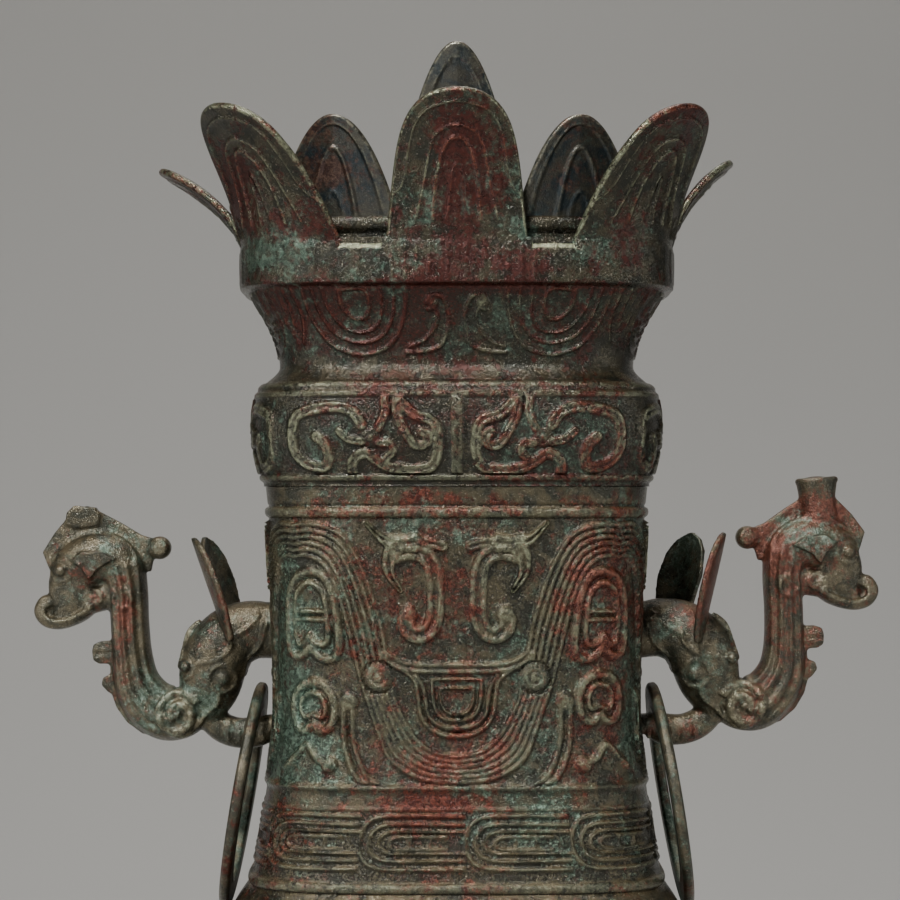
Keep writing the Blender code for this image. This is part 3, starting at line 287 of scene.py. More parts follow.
def panel_relief(u, v, facing, right):
    """Height in mm of the wave panel over its sunk ground, for u from a side's middle and v above its foot.

    It is the highest of its ridges, ribbons and bosses. The arches and rings beside the corners of the front
    and back, where facing is true, reach a little round onto the sides. A right half's ring sits higher.
    """
    height = np.zeros(u.shape)
    high, low = np.array(RIB_HIGH), np.array(RIB_LOW)
    for share in np.linspace(0, 1, RIB_COUNT):
        ridge(height, u, v, high + (low - high) * share, 3.0, 1.6)
    for line, width, proud, taper in ((HOOK, 8.4, 1.9, 0), (BROW, 4.8, 1.7, 0), (HORN_TIP, 9.2, 2.4, 0.75),
                                      (TOOTH, 8.8, 2.4, 0.7), (SHIELD_BAR, 5.2, 1.7, 0)):
        ribbon(height, u, v, line, width, proud, taper)
    for line, width in ((SHIELD_EDGE, 2.8), (SHIELD_CUP, 2.6), (SHIELD_EYE, 2.2), (SHIELD_PUPIL, 1.8),
                        (COMMA_BACK, 3.6), (COMMA_FRONT, 3.6)):
        ridge(height, u, v, line, width, 1.6)
    boss(height, u, v, HOOK_BULB, 4.3, 2.1)
    boss(height, u, v, COMMA_HEAD, 4.6, 1.9)
    round_it = np.where(facing, u, PANEL_CORNER + SIDE_SHARE * (PANEL_CORNER - u))
    corner = np.zeros(u.shape)
    lifted = v - RIGHT_RING_LIFT * right
    for line, width, up in ((ARCH, 5.2, v), (ARCH_INNER, 3.8, v), (ARCH_BARS[0], 2.8, v),
                            (ARCH_BARS[1], 2.8, v), (CARET, 4.4, v), (CORNER_RING, 5.2, lifted),
                            (RING_INNER, 3.4, lifted)):
        ridge(corner, round_it, up, line, width, 1.9)
    boss(corner, round_it, v, CARET_BALL, 3.8, 2.1, 0.3)
    away = np.hypot(u - BOSS_PLACE[0], v - BOSS_PLACE[1])
    dome = 2.0 * np.sqrt(np.clip(1 - (away / BOSS_RADIUS) ** 2, 0, 1))
    dome -= 0.7 * np.exp(-((away - BOSS_RING) / 0.6) ** 2)
    height = np.where(away < BOSS_CLEARING, 0.15, np.maximum(height, corner))
    return np.maximum(height, dome)


def linear(code):
    """An sRGB hex colour as linear light."""
    value = np.array([int(code[k:k + 2], 16) / 255 for k in (1, 3, 5)])
    value = np.where(value <= 0.04045, value / 12.92, ((value + 0.055) / 1.055) ** 2.4)
    return (*value.tolist(), 1.0)


def node(tree, kind, inputs=(), **settings):
    """Adds a shader node, with its settings and with each input given as a value or as a link."""
    made = tree.nodes.new(kind)
    for key, value in settings.items():
        setattr(made, key, value)
    for key, value in dict(inputs).items():
        if isinstance(value, bpy.types.NodeSocket):
            tree.links.new(value, made.inputs[key])
        else:
            made.inputs[key].default_value = value
    return made


# Noise in the patina: name, size in mm, detail, roughness, distortion and a shift of its own.
PATINA_NOISE = [
    ("blots", 9, 4, 0.65, 0.5, 0.3), ("specks", 2.4, 3, 0.75, 0.4, 0.7), ("grit", 1.1, 2, 0.7, 0.0, 0.0),
    ("fine", 0.55, 1, 0.6, 0.0, 0.9), ("red_clouds", 60, 4, 0.6, 0.4, 0.1),
    ("red_blots", 11, 4, 0.65, 0.6, 0.1), ("red_specks", 3.0, 3, 0.75, 0.3, 0.1),
    ("teal_clouds", 60, 4, 0.6, 0.4, 0.5), ("teal_blots", 11, 4, 0.65, 0.6, 0.5),
    ("teal_specks", 3.0, 3, 0.75, 0.3, 0.5)]
# Soft steps: name, what it follows, where it starts, where it is full, and how much it then is.
PATINA_STEPS = [
    ("mottled", "blots", 0.38, 0.62, 1.0), ("reddened", "red", 0.545, 0.635, 0.92),
    ("rusty", "specks", 0.42, 0.62, 1.0), ("greened", "teal", 0.56, 0.66, 0.80),
    # deep and gritty darken the sunk ground: part grime in the hollows, part painted shade.
    ("paled", "specks", 0.44, 0.66, 1.0), ("deep", "relief", 0.55, 0.0, 0.80),
    ("gritty", "grit", 0.68, 0.38, 1.0), ("high", "relief", 0.80, 1.50, 0.70),
    # chamfer picks the notch's chamfer tone: a painted highlight on that upward top face.
    ("rubbed", "specks", 0.36, 0.60, 1.0), ("chamfer", "relief", 1.75, 2.10, 0.85),
    ("level", "upward", 0.30, 0.85, 0.42), ("dusty", "blots", 0.36, 0.60, 1.0),
    # sparkling and coarse pick the pale specks of painted glints: painted highlights, not a colour of the
    # bronze.
    ("sparkling", "fine", 0.62, 0.76, 0.45), ("coarse", "grit", 0.46, 0.62, 1.0)]
# Sums: name, operation and what goes into it. The last ones give the roughness and the skin's height.
PATINA_SUMS = [
    # sunk is the darkened ground: grime in the hollows together with painted shade.
    ("sunk", "MULTIPLY", "deep", "gritty"), ("wear_and_painted_highlight", "MULTIPLY", "high", "rubbed"),
    # The worn mask also takes in the chamfer step: pale wear on high relief, plus a painted highlight on the
    # notch's chamfer.
    ("wear_and_painted_highlight", "MAXIMUM", "wear_and_painted_highlight", "chamfer"), ("ledge", "MULTIPLY", "level", "dusty"),
    # The glint mask paints highlights as pale specks, fewer on red.
    ("spared", "MULTIPLY_ADD", "reddened", -0.7, 1.0), ("painted_glint_mask", "MULTIPLY", "sparkling", "coarse"),
    ("painted_glint_mask", "MULTIPLY", "painted_glint_mask", "spared"), ("grain", "MULTIPLY_ADD", "fine", 0.9, "grit"),
    ("rough", "MULTIPLY_ADD", "specks", 0.30, "rough"), ("rough", "MULTIPLY_ADD", "greened", 0.10, "rough"),
    ("rough", "MULTIPLY_ADD", "wear_and_painted_highlight", -0.10, "rough"), ("rough", "MULTIPLY_ADD", "reddened", 0.08, "rough"),
    ("skin", "MULTIPLY_ADD", "specks", 0.5, "grit"), ("skin", "MULTIPLY_ADD", "fine", 0.8, "skin")]
# Coats from the metal up: name, where it shows, the colour under it and the colour over it.
PATINA_COATS = [
    ("metal", "mottled", "dark", "brown"), ("reds", "rusty", "red", "rust"),
    ("teals", "paled", "teal", "pale"), ("bare", "reddened", "wear_and_painted_highlight", "wear_and_painted_highlight_red"),
    ("metal", "reddened", "metal", "reds"),
    # Under sunk, the ground colour stands for grime and for painted shade in the hollows.
    ("metal", "greened", "metal", "teals"), ("metal", "sunk", "metal", "ground"),
    # The worn coat paints pale wear, and on the notch's chamfer a painted highlight.
    ("metal", "wear_and_painted_highlight", "metal", "bare"), ("metal", "ledge", "metal", "dust"),
    # The glint coat is painted highlight.
    ("metal", "painted_glint_mask", "metal", "painted_glint")]
CRUST_METALLIC = 0.55
BUMP_HEIGHT = 0.0006


def gathered(tree, place, total, clouds, places):
    """Clouds, blots and specks of one colour together, lifted near each place by its weight.

    The lift falls smoothly from a tenth of the place's radii out to one and a half times them.
    """
    for cloud, weight in zip(clouds, (0.36, 0.34, 0.30)):
        summed = node(tree, "ShaderNodeMath", {0: cloud, 1: weight, 2: total}, operation="MULTIPLY_ADD")
        total = summed.outputs[0]
    for centre, radii, weight in places:
        away = node(tree, "ShaderNodeVectorMath", {0: place, 1: centre}, operation="SUBTRACT")
        share = node(tree, "ShaderNodeVectorMath", {0: away.outputs[0], 1: radii}, operation="DIVIDE")
        length = node(tree, "ShaderNodeVectorMath", {0: share.outputs[0]}, operation="LENGTH")
        near = node(tree, "ShaderNodeMapRange", {
            "Value": length.outputs["Value"], "From Min": 1.5, "From Max": 0.1, "To Min": 0.0,
            "To Max": weight}, interpolation_type="SMOOTHSTEP")
        total = node(tree, "ShaderNodeMath", {0: total, 1: near.outputs[0]}, operation="ADD").outputs[0]
    return total


def patinated_bronze(name, colours, red_places, teal_places, amounts, seed):
    """Cast leaded bronze under a chemical patina: dark olive metal, red cuprite and blue-green verdigris.

    The crust hides about half of the metal's gloss and leaves a soft, gritty sheen. Worn high relief is
    paler, and a notch's chamfer is painted pale as a painted highlight. Sunk ground is darker: grime in the
    hollows, with painted shade. Ledges hold tan dust, and pale specks are painted glints. A place is
    (centre, radii, weight): the colour gathers there, broken up by noise of 60, 11 and 3 mm.
    """
    material = bpy.data.materials.new(name)
    material.use_nodes = True
    tree = material.node_tree
    shader = tree.nodes["Principled BSDF"]
    place = node(tree, "ShaderNodeTexCoord").outputs["Object"]
    facing = node(tree, "ShaderNodeNewGeometry").outputs["Normal"]
    value = {"rough": amounts["rough"],
             "relief": node(tree, "ShaderNodeAttribute", attribute_name="relief").outputs["Fac"],
             "upward": node(tree, "ShaderNodeSeparateXYZ", {0: facing}).outputs["Z"]}
    for key, size, detail, roughness, distortion, shift in PATINA_NOISE:
        offset = (seed + shift, 2 * seed - shift, 0.5 + 3 * shift)
        moved = node(tree, "ShaderNodeVectorMath", {0: place, 1: offset}, operation="ADD").outputs[0]
        value[key] = node(tree, "ShaderNodeTexNoise", {
            "Vector": moved, "Scale": 1000 / size, "Detail": detail, "Roughness": roughness,
            "Distortion": distortion}).outputs["Fac"]
    low_ground = node(tree, "ShaderNodeMapRange", {
        "Value": value["relief"], "From Min": 0.6, "From Max": 0.0, "To Min": amounts["teal"],
        "To Max": amounts["teal"] + 0.05}, interpolation_type="SMOOTHSTEP").outputs["Result"]
    for key, places, start in (("red", red_places, amounts["red"]), ("teal", teal_places, low_ground)):
        clouds = [value[key + part] for part in ("_clouds", "_blots", "_specks")]
        value[key] = gathered(tree, place, start, clouds, places)
    for key, source, low, high, top in PATINA_STEPS:
        value[key] = node(tree, "ShaderNodeMapRange", {
            "Value": value[source], "From Min": low, "From Max": high, "To Min": 0.0,
            "To Max": top}, interpolation_type="SMOOTHSTEP").outputs["Result"]
    for key, operation, *parts in PATINA_SUMS:
        inputs = {k: value.get(part, part) for k, part in enumerate(parts)}
        value[key] = node(tree, "ShaderNodeMath", inputs, operation=operation).outputs[0]
    shade = {key: linear(code) for key, code in colours.items()}
    for key, mask, under, over in PATINA_COATS:
        inputs = {0: value[mask], 6: shade[under], 7: shade[over]}
        shade[key] = node(tree, "ShaderNodeMix", inputs, data_type="RGBA").outputs[2]
    grained = node(tree, "ShaderNodeHueSaturation", {"Value": value["grain"], "Color": shade["metal"]})
    bump = node(tree, "ShaderNodeBump", {"Height": value["skin"], "Strength": amounts["bump"],
                                         "Distance": BUMP_HEIGHT})
    for socket, source in (("Base Color", grained.outputs["Color"]), ("Roughness", value["rough"]),
                           ("Normal", bump.outputs[0])):
        tree.links.new(source, shader.inputs[socket])
    shader.inputs["Metallic"].default_value = CRUST_METALLIC
    return material


# ground is the dark of the sunk ground, grime with painted shade; worn is pale wear and also the notch
# chamfer's painted highlight; glint is a painted highlight.
BRONZE_COLOURS = {"dark": "#2c2d24", "brown": "#4b4533", "red": "#3f150d", "rust": "#5f2a1c",
                  "teal": "#35493d", "pale": "#6a8271", "ground": "#1d1c14", "wear_and_painted_highlight": "#7e8168",
                  "wear_and_painted_highlight_red": "#7d4b3a", "dust": "#6b5c42", "painted_glint": "#b5ad9f"}
# The vessel's bronze: red at the waves' right and under the mouth, blue-green at the panel's left edge.
body_bronze = patinated_bronze(
    "bronze_body", BRONZE_COLOURS,
    [((0.0, -0.06, 0.318), (0.035, 0.05, 0.03), 0.05), ((-0.01, -0.06, 0.27), (0.05, 0.05, 0.03), 0.035),
     ((-0.03, -0.07, 0.222), (0.12, 0.05, 0.007), 0.05), ((0.03, -0.06, 0.353), (0.06, 0.05, 0.006), 0.05),
     ((0.058, -0.05, 0.315), (0.022, 0.05, 0.035), 0.09), ((0.064, -0.05, 0.27), (0.016, 0.05, 0.03), 0.07)],
    [((-0.07, -0.05, 0.285), (0.014, 0.05, 0.06), 0.08), ((-0.045, -0.06, 0.305), (0.02, 0.05, 0.02), 0.04),
     ((0.02, -0.06, 0.342), (0.07, 0.05, 0.008), 0.06), ((0.074, -0.05, 0.27), (0.010, 0.05, 0.06), 0.06)],
    {"red": 0.045, "teal": 0.03, "rough": 0.05, "bump": 0.7}, 3.0)

levels = np.append(np.arange(PANEL_START, PANEL_END, PANEL_STEP), PANEL_END)
for part, cells in (("front", (270, 0, 0, 0)), ("rest", (0, 84, 110, 84))):
    plan = round_plan(cells, False)
    u, v = side_grid(plan, levels, PANEL_CORNER, PANEL_FOOT)
    facing = (plan["side"] % 2 == 0)[None, :]
    right = (plan["share"] > 0)[None, :] == facing
    height = panel_relief(u, v, facing, right)
    height = np.where((v > PANEL_LINES[0]) & (v < PANEL_LINES[1]), height, 0)
    height = np.maximum(height, FILLET * np.exp(-((v - 0.2) / FILLET) ** 2))
    tone = PANEL_GROUND_TONE + PANEL_TONE_RISE * height
    piece = wall_piece("vessel_panel_" + part, plan, levels, body_half(levels), height, tone)
    piece.data.materials.append(body_bronze)
    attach(piece, "vessel")
    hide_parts("vessel")


# Belt of scales between the panel and the belly, cast in one with the wall. Each long scale opens toward the
# next, with nested edges and a barred pill inside, and a round moulding runs under them.
BELT_FOOT = 0.1885
BELT_STEP = 0.00060
BELT_HALF_WIDTH = 88.0
SCALE_PITCH = 45.9
SCALE_SHIFT = 3.5
SCALE_BASE = 0.1985
SCALE_EDGES = [([(46, 22.5), (20, 22.8), (8, 22), (2.4, 18.6), (0.2, 11.5), (2.4, 4.4), (8, 1),
                 (20, 0.2), (46, 0.5)], 2),
               ([(46, 18.9), (20, 19.3), (11, 18.8), (6.2, 16.2), (4.4, 11.5), (6.2, 6.8), (11, 4.2),
                 (20, 3.7), (46, 4.1)], 1.7),
               ([(46, 16), (20, 16.2), (13, 15.8), (9.6, 13.8), (8.6, 11.5), (9.6, 9.2), (13, 7.2),
                 (20, 6.8), (46, 7)], 1.3)]
SCALE_PILL = [(38, 13.8), (18, 13.8), (14.2, 12.8), (13, 11.2), (14.2, 9.4), (18, 8.6), (38, 8.6)]
BELT_MOULDINGS = ((-7.5, 2.3, 1.6), (25.4, 0.9, 0.5))
PLAIN_BELOW, PLAIN_ABOVE = -4.5, 24.2


def belt_relief(x, v):
    """Height in mm of the belt's ridges, for x along one scale and v above the scale's lower edge."""
    height = np.zeros(x.shape)
    for points, width in SCALE_EDGES:
        ridge(height, x, v, points, 1.2 * width, 1.25)
    ridge(height, x, v, SCALE_PILL, 2.0, 1.1)
    for bar in (22, 31):
        ridge(height, x, v, [(bar, 8.8), (bar, 13.6)], 2.0, 1.1)
    return height


def moulding(v, middle, half_height, proud):
    """Height of a round moulding that runs along a wall: half an ellipse across."""
    return proud * np.sqrt(np.clip(1 - ((v - middle) / half_height) ** 2, 0, 1))


def neutral_wall(height):
    """Tone of a plain wall: neither sunk ground nor worn relief."""
    return np.minimum(height + NEUTRAL_TONE, 1.15)


def along_plan(plan):
    """Running length round the plan for half width 1, from the middle of the front toward the right.

    The middle of each side lies a quarter of the way round past the one before.
    """
    length, _, _, corner = quarter_plan()
    ahead = np.array([corner, length[-1] - corner])
    return plan["side"] * length[-1] + plan["share"] * ahead[plan["side"] % 2]


levels = np.append(np.arange(BELT_FOOT, PANEL_START, BELT_STEP), PANEL_START)
plan = round_plan((190, 90, 120, 90))
x = np.mod(along_plan(plan) * BELT_HALF_WIDTH - SCALE_SHIFT, SCALE_PITCH)[None, :] + 0 * levels[:, None]
v = (levels[:, None] - SCALE_BASE) / MM + 0 * x
height = belt_relief(x, v)
for middle, half_height, proud in BELT_MOULDINGS:
    height = np.maximum(height, moulding(v, middle, half_height, proud))
tone = np.where((v < PLAIN_BELOW) | (v > PLAIN_ABOVE), neutral_wall(height), height)
piece = wall_piece("vessel_belt", plan, levels, body_half(levels), height, tone)
piece.data.materials.append(body_bronze)
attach(piece, "vessel")
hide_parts("vessel")


# Mouth of the vessel: the plain top of the neck, cast with it. A round moulding runs over the panel, then a
# fine sunk line, and the lid rests on the smooth rim.
MOUTH_STEP = 0.0005
MOUTH_MOULDING = (2.6, 2.3, 1.6)
SUNK_LINE = 5.4
levels = np.append(np.arange(PANEL_TOP - 0.0001, RIM_LEVEL, MOUTH_STEP), RIM_LEVEL)
plan = round_plan((80, 50, 80, 50))
v = (levels[:, None] - PANEL_TOP) / MM + 0 * plan["x"][None, :]
height = moulding(v, *MOUTH_MOULDING) - 0.5 * np.exp(-((v - SUNK_LINE) / 0.6) ** 2)
piece = wall_piece("vessel_mouth", plan, levels, body_half(levels), height, neutral_wall(height))
piece.data.materials.append(body_bronze)
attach(piece, "vessel")
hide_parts("vessel")


# Core of the vessel: the casting's true hollow, its floor, the plain belly and the hollow foot. Above the
# belt's lower edge it lies just under the carved skins, so the two together are one wall.
FLOOR_THICKNESS = 0.004
UNDER_SKIN = 0.0012
BEAD_REACH = 0.0022
BEAD_PROUD = 0.0016
BEAD_GAP = 0.0002


def wall_rows(half, start, end, count, inset):
    """Rows of (half width, inset, level) up or down a wall at one inset."""
    return [(half(level), inset, level) for level in np.linspace(start, end, count)]


def loft_rows(name, plan, rows):
    """Closed body through rows of (half width, inset, level), with a hub point at each end."""
    half, inset, level = (np.array(column)[:, None] for column in zip(*rows))
    x = (half - inset) * plan["x"]
    y = (half * DEPTH_SHARE - inset) * plan["y"] / DEPTH_SHARE
    ring = np.stack([x, y, level + 0 * x], axis=2)
    count = x.shape[1]
    hubs = np.array([[0, 0, rows[0][2]], [0, 0, rows[-1][2]]])
    points = np.concatenate([ring.reshape(-1, 3), hubs])
    low, high = len(points) - 2, len(points) - 1
    last = (len(rows) - 1) * count
    here = np.arange(count)
    beside = (here + 1) % count
    faces = grid_faces(len(rows), count, False, True)
    faces += np.stack([0 * here + low, beside, here], axis=1).tolist()
    faces += np.stack([0 * here + high, last + here, last + beside], axis=1).tolist()
    return add_mesh(name, points, faces, np.full(len(points), NEUTRAL_TONE))


floor_top = FOOT_HEIGHT + FLOOR_THICKNESS
bead_end = BEAD_REACH + BEAD_GAP
rows = wall_rows(body_half, FOOT_HEIGHT, 0, 10, WALL)
rows[0] = (body_half(FOOT_HEIGHT), WALL + 0.003, FOOT_HEIGHT)
rows += wall_rows(body_half, 0, FOOT_HEIGHT - bead_end, 20, 0.0)
for turn in np.linspace(-1, 1, 9):
    level = FOOT_HEIGHT + BEAD_REACH * turn
    rows.append((body_half(level) + BEAD_PROUD * (1 - turn * turn) ** 0.5, 0.0, level))
rows += wall_rows(body_half, FOOT_HEIGHT + bead_end, BELT_FOOT, 50, 0.0)
rows += wall_rows(body_half, BELT_FOOT + 0.0004, RIM_LEVEL - 0.0004, 24, UNDER_SKIN)
rows += wall_rows(body_half, RIM_LEVEL - 0.0002, floor_top + 0.004, 50, WALL)
rows.append((body_half(floor_top), WALL + 0.006, floor_top))
piece = loft_rows("vessel_core", round_plan((36, 28, 36, 28)), rows)
piece.data.materials.append(body_bronze)
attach(piece, "vessel")
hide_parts("vessel")


# Band of the lid, which is its own bronze casting and lifts off. On each side two coiling dragons face away
# from a plain upright bar, between mouldings, all cast in one with the wall.
LID_FOOT = 0.3613
LID_BAND_TOP = 0.4013
WAIST_LEVEL = 0.4138
CROWN_FOOT = 0.4473
CROWN_TOP = 0.4668
CROWN_HALF = 0.0958
LID_CORNER = 77.0
LID_STEP = 0.00064
DRAGONS_FROM, DRAGONS_TO = 5.2, 37.8
# Level and full width, in metres, at a few places up the lid's outline.
LID_OUTLINE = [(LID_FOOT, 0.171), (0.3853, 0.18), (LID_BAND_TOP, 0.1773), (WAIST_LEVEL, 0.1566),
               (CROWN_FOOT - 0.0015, 0.1831), (CROWN_FOOT + 0.0005, 0.1916), (CROWN_TOP, 0.1916)]


def lid_half(level):
    """Half the lid's outer width at a level, from its foot to the top of the crown's band."""
    return 0.5 * through(LID_OUTLINE, level)


DRAGON_BODY = [(40.2, 26), (43.2, 30.7), (50, 33.4), (59.7, 32.7), (68.2, 29.8), (70.3, 22.4),
               (70, 14.8), (65.5, 9.6), (58, 8.2), (55.1, 11.9), (56, 17.6), (59.3, 20.9)]
DRAGON_SNOUT = [(40.3, 18.9), (45.9, 19.9), (49.5, 23.2)]
DRAGON_CREST = [(33.1, 24.6), (30.5, 30.7), (30.9, 37.3)]
DRAGON_HORN = [(25.9, 36.4), (24.5, 28.8), (21, 21.7), (17.3, 17.3), (13.1, 18), (12.1, 21.3),
               (14.4, 22.7)]
DRAGON_WING = [(24.3, 35.9), (17.8, 30.2), (11.6, 28.3), (8.5, 24.1), (8.2, 14.7), (10.8, 8.6), (17, 7),
               (27.4, 7.6), (33.9, 10.5), (37.6, 13.3), (41.4, 13.3), (44.9, 10), (45.5, 4.4)]
DRAGON_JAW = [(32.3, 18), (28.5, 18), (27.2, 14.7), (30.1, 11.9)]
DRAGON_EYE = (36.4, 20.5)


def dragon_relief(u, v):
    """Height in mm of the dragons' ribbons, for u from a side's middle and v above the lid's foot."""
    height = np.zeros(u.shape)
    for line, width in ((DRAGON_BODY, 5.4), (DRAGON_SNOUT, 4.0), (DRAGON_CREST, 4.2), (DRAGON_HORN, 4.6),
                        (DRAGON_WING, 5.2), (DRAGON_JAW, 3.8)):
        ribbon(height, u, v, line, width, 1.5, cut=0.35)
    boss(height, u, v, DRAGON_EYE, 4.2, 1.3, 0.5)
    bar = 1.1 * np.clip((3.0 - u) / 0.5, 0, 1) * (v > 4.3) * (v < 38.4)
    return np.maximum(height, bar)


levels = np.append(np.arange(LID_FOOT, LID_BAND_TOP, LID_STEP), LID_BAND_TOP)
plan = round_plan((210, 84, 110, 84))
u, v = side_grid(plan, levels, LID_CORNER, LID_FOOT)
height = np.where((v > DRAGONS_FROM) & (v < DRAGONS_TO), dragon_relief(u, v), 0)
height = np.maximum(height, moulding(v, 3.6, 1.4, 1.0))
height = np.maximum(height, 0.8 * np.clip((v - DRAGONS_TO) / 0.6, 0, 1))
height -= 0.5 * np.exp(-((v - 1.0) / 0.6) ** 2)
tone = np.where((v < DRAGONS_FROM) | (v > DRAGONS_TO), neutral_wall(height), height)
piece = wall_piece("lid_band", plan, levels, lid_half(levels), height, tone)

# The lid's bronze: deep red on the flare, the front petal and the right one's edge, green at the left.
LID_COLOURS = BRONZE_COLOURS | {"dark": "#202119", "brown": "#3a3628", "red": "#2d0803", "rust": "#41130a",
                                "dust": "#4f4330", "wear_and_painted_highlight_red": "#673021", "teal": "#2e4035",
                                "pale": "#5a7061"}
lid_bronze = patinated_bronze(
    "bronze_lid", LID_COLOURS,
    [((-0.055, -0.07, 0.433), (0.045, 0.05, 0.015), 0.16), ((0.0, -0.08, 0.445), (0.11, 0.05, 0.0035), 0.12),
     ((0.004, -0.09, 0.492), (0.016, 0.05, 0.032), 0.15), ((0.01, -0.08, 0.456), (0.05, 0.05, 0.010), 0.10),
     ((0.045, -0.08, 0.430), (0.03, 0.05, 0.012), 0.08), ((0.10, -0.07, 0.520), (0.03, 0.05, 0.006), 0.10),
     ((-0.10, -0.07, 0.49), (0.014, 0.05, 0.02), 0.08), ((0.07, -0.08, 0.470), (0.02, 0.05, 0.015), 0.05),
     ((0.0, -0.08, 0.383), (0.09, 0.05, 0.03), 0.03)],
    [((-0.04, -0.08, 0.383), (0.03, 0.05, 0.012), 0.05), ((0.045, -0.08, 0.383), (0.03, 0.05, 0.012), 0.05),
     ((-0.075, -0.06, 0.461), (0.03, 0.05, 0.010), 0.09), ((0.06, -0.06, 0.463), (0.02, 0.05, 0.008), 0.06),
     ((0.09, -0.07, 0.49), (0.02, 0.05, 0.03), 0.05), ((0.03, -0.08, 0.470), (0.006, 0.05, 0.006), 0.12)],
    {"red": 0.04, "teal": 0.015, "rough": 0.08, "bump": 0.6}, 7.0)
piece.data.materials.append(lid_bronze)
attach(piece, "vessel")
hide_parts("lid")


# Crown of the lid: a plain waist that flares out under a band with upright strokes, cast in one with it.
# Cups of nested lines and paired commas hang from the band on the flare, and the cups' lines go on up it.
CUP_LINES = [([(64.5, 35.5), (66.5, 20), (60, 8), (45.5, 3.6), (31.5, 8), (23.8, 20), (20.5, 35.5)], 2),
             ([(60.3, 35.5), (61.6, 21.5), (56.5, 12), (45.2, 8.6), (34.6, 12), (28.4, 21.5),
               (25.6, 35.5)], 1.7),
             ([(56.4, 35.5), (56.8, 22.5), (52.5, 15.4), (45, 13), (37.6, 15.4), (33.2, 22.5),
               (31, 35.5)], 1.5)]
CUP_HEART = [(49.5, 31), (50.6, 24), (47, 19.2), (42, 19.2), (38.4, 24), (39, 31), (49.5, 31)]
CROWN_COMMAS = [([(13.4, 25.4), (11.3, 28.2), (6.6, 28.2), (4, 22.7), (4, 16.2), (7.3, 7.8), (15.8, 5),
                  (24, 4.6)], 2.4),
                ([(12.7, 22.7), (9.2, 22.7), (9.6, 16.2), (15.6, 9.7), (22.6, 7.2)], 2)]
CORNER_LEAF = [([(70, 35.5), (71, 20), (75, 9)], 2),
               ([(74.4, 35.5), (75.2, 24), (77.5, 16)], 1.7)]
BAND_STROKES = (3.5, 11.0, 16.0, 20.5, 25.6, 31.0, 39.0, 49.5, 56.4, 60.3, 64.5, 72.0)
NOTCH_FROM, NOTCH_TO = 29.5, 47.0
# Tone of the notch's chamfer face: it paints that top face pale, a painted highlight where light from above
# falls.
LIT_CHAMFER_TONE = 2.2


def cast_waves(points, sizes, depth):
    """Slow unevenness of a casting: a few sine waves across each other, with fixed phases."""
    total = np.zeros(points.shape[:-1])
    rng = np.random.default_rng(7)
    for size in sizes:
        for _ in range(3):
            way = rng.normal(size=3)
            way /= np.linalg.norm(way)
            total += np.sin(2 * pi * (points @ way) / size + rng.uniform(0, 2 * pi))
    return depth * total / (3 * len(sizes)) ** 0.5


def crown_relief(u, v):
    """Height in mm of the ridges on the crown's flare and band, for v above the waist."""
    height = np.zeros(u.shape)
    for line, width in CUP_LINES + CROWN_COMMAS + CORNER_LEAF:
        ridge(height, u, v, line, width, 1.0)
    ridge(height, u, v, CUP_HEART, 2.2, 1.0)
    boss(height, u, v, (10.5, 25.4), 2.6, 1.2, 0.2)
    height = np.where(v < 32.0, height, 0)
    for place in BAND_STROKES:
        ridge(height, u, v, [(place, 36.0), (place, 50.0)], 1.1, 0.4)
    return height


flare = np.arange(LID_BAND_TOP - 0.0001, CROWN_FOOT - 0.0016, LID_STEP)
step_out = np.linspace(CROWN_FOOT - 0.0015, CROWN_FOOT + 0.0005, 8)
band = np.arange(CROWN_FOOT + 0.0009, CROWN_TOP - 0.0002, LID_STEP)
levels = np.concatenate([flare, step_out, band, [CROWN_TOP - 0.0001]])
plan = round_plan((210, 84, 110, 84))
u, v = side_grid(plan, levels, LID_CORNER, WAIST_LEVEL)
height = np.maximum(crown_relief(u, v), 0.8 * np.clip((-11.6 - v) / 0.6, 0, 1))
height = np.maximum(height, moulding(v, -9.2, 1.5, 0.9))
height += cast_waves(wall_points(plan, levels, lid_half(levels), 0 * u), (0.03, 0.012), 0.10)
notch = (plan["side"] % 2 == 0)[None, :] & (u > NOTCH_FROM) & (u < NOTCH_TO)
chamfer, worn_edge = 3.0 * np.clip((v - 48.0) / 5.0, 0, 1), 0.5 * np.clip((v - 50.4) / 2.6, 0, 1) ** 2
height -= np.where(notch, chamfer, worn_edge)
tone = np.where((v > 3.0) & (v < 31.5), height + 0.15, neutral_wall(height))
# The chamfer face of each notch is painted pale: painted highlight.
tone = np.where(notch & (v > 48.4), LIT_CHAMFER_TONE, tone)
piece = wall_piece("lid_crown", plan, levels, lid_half(levels), height, tone)
piece.data.materials.append(lid_bronze)
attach(piece, "vessel")
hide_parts("lid")


# Core of the lid: the hollow cap with its tongue, which enters the vessel's mouth, the web of the crown and
# the inner collar with its lip, all one bronze casting. Outside it lies just under the carved skins.
TONGUE_DEPTH = 0.012
TONGUE_OUTER = WALL + 0.001
TONGUE_INNER = TONGUE_OUTER + 0.003
COLLAR_TOP = CROWN_TOP + 0.010
COLLAR_OUTER = 0.0118
COLLAR_INNER = COLLAR_OUTER + 0.0032
COLLAR_LIP = 0.0068
COLLAR_OVERHANG = 0.0016
ceiling = WAIST_LEVEL - WALL
web = CROWN_FOOT + 0.003
mouth = body_half(RIM_LEVEL - TONGUE_DEPTH)
rows = [(lid_half(ceiling), WALL + 0.004, ceiling)]
rows += wall_rows(lid_half, LID_BAND_TOP, LID_FOOT + 0.006, 12, WALL)
rows += [(mouth, TONGUE_INNER, LID_FOOT), (mouth, TONGUE_INNER, RIM_LEVEL - TONGUE_DEPTH),
         (mouth, TONGUE_OUTER, RIM_LEVEL - TONGUE_DEPTH), (mouth, TONGUE_OUTER, LID_FOOT)]
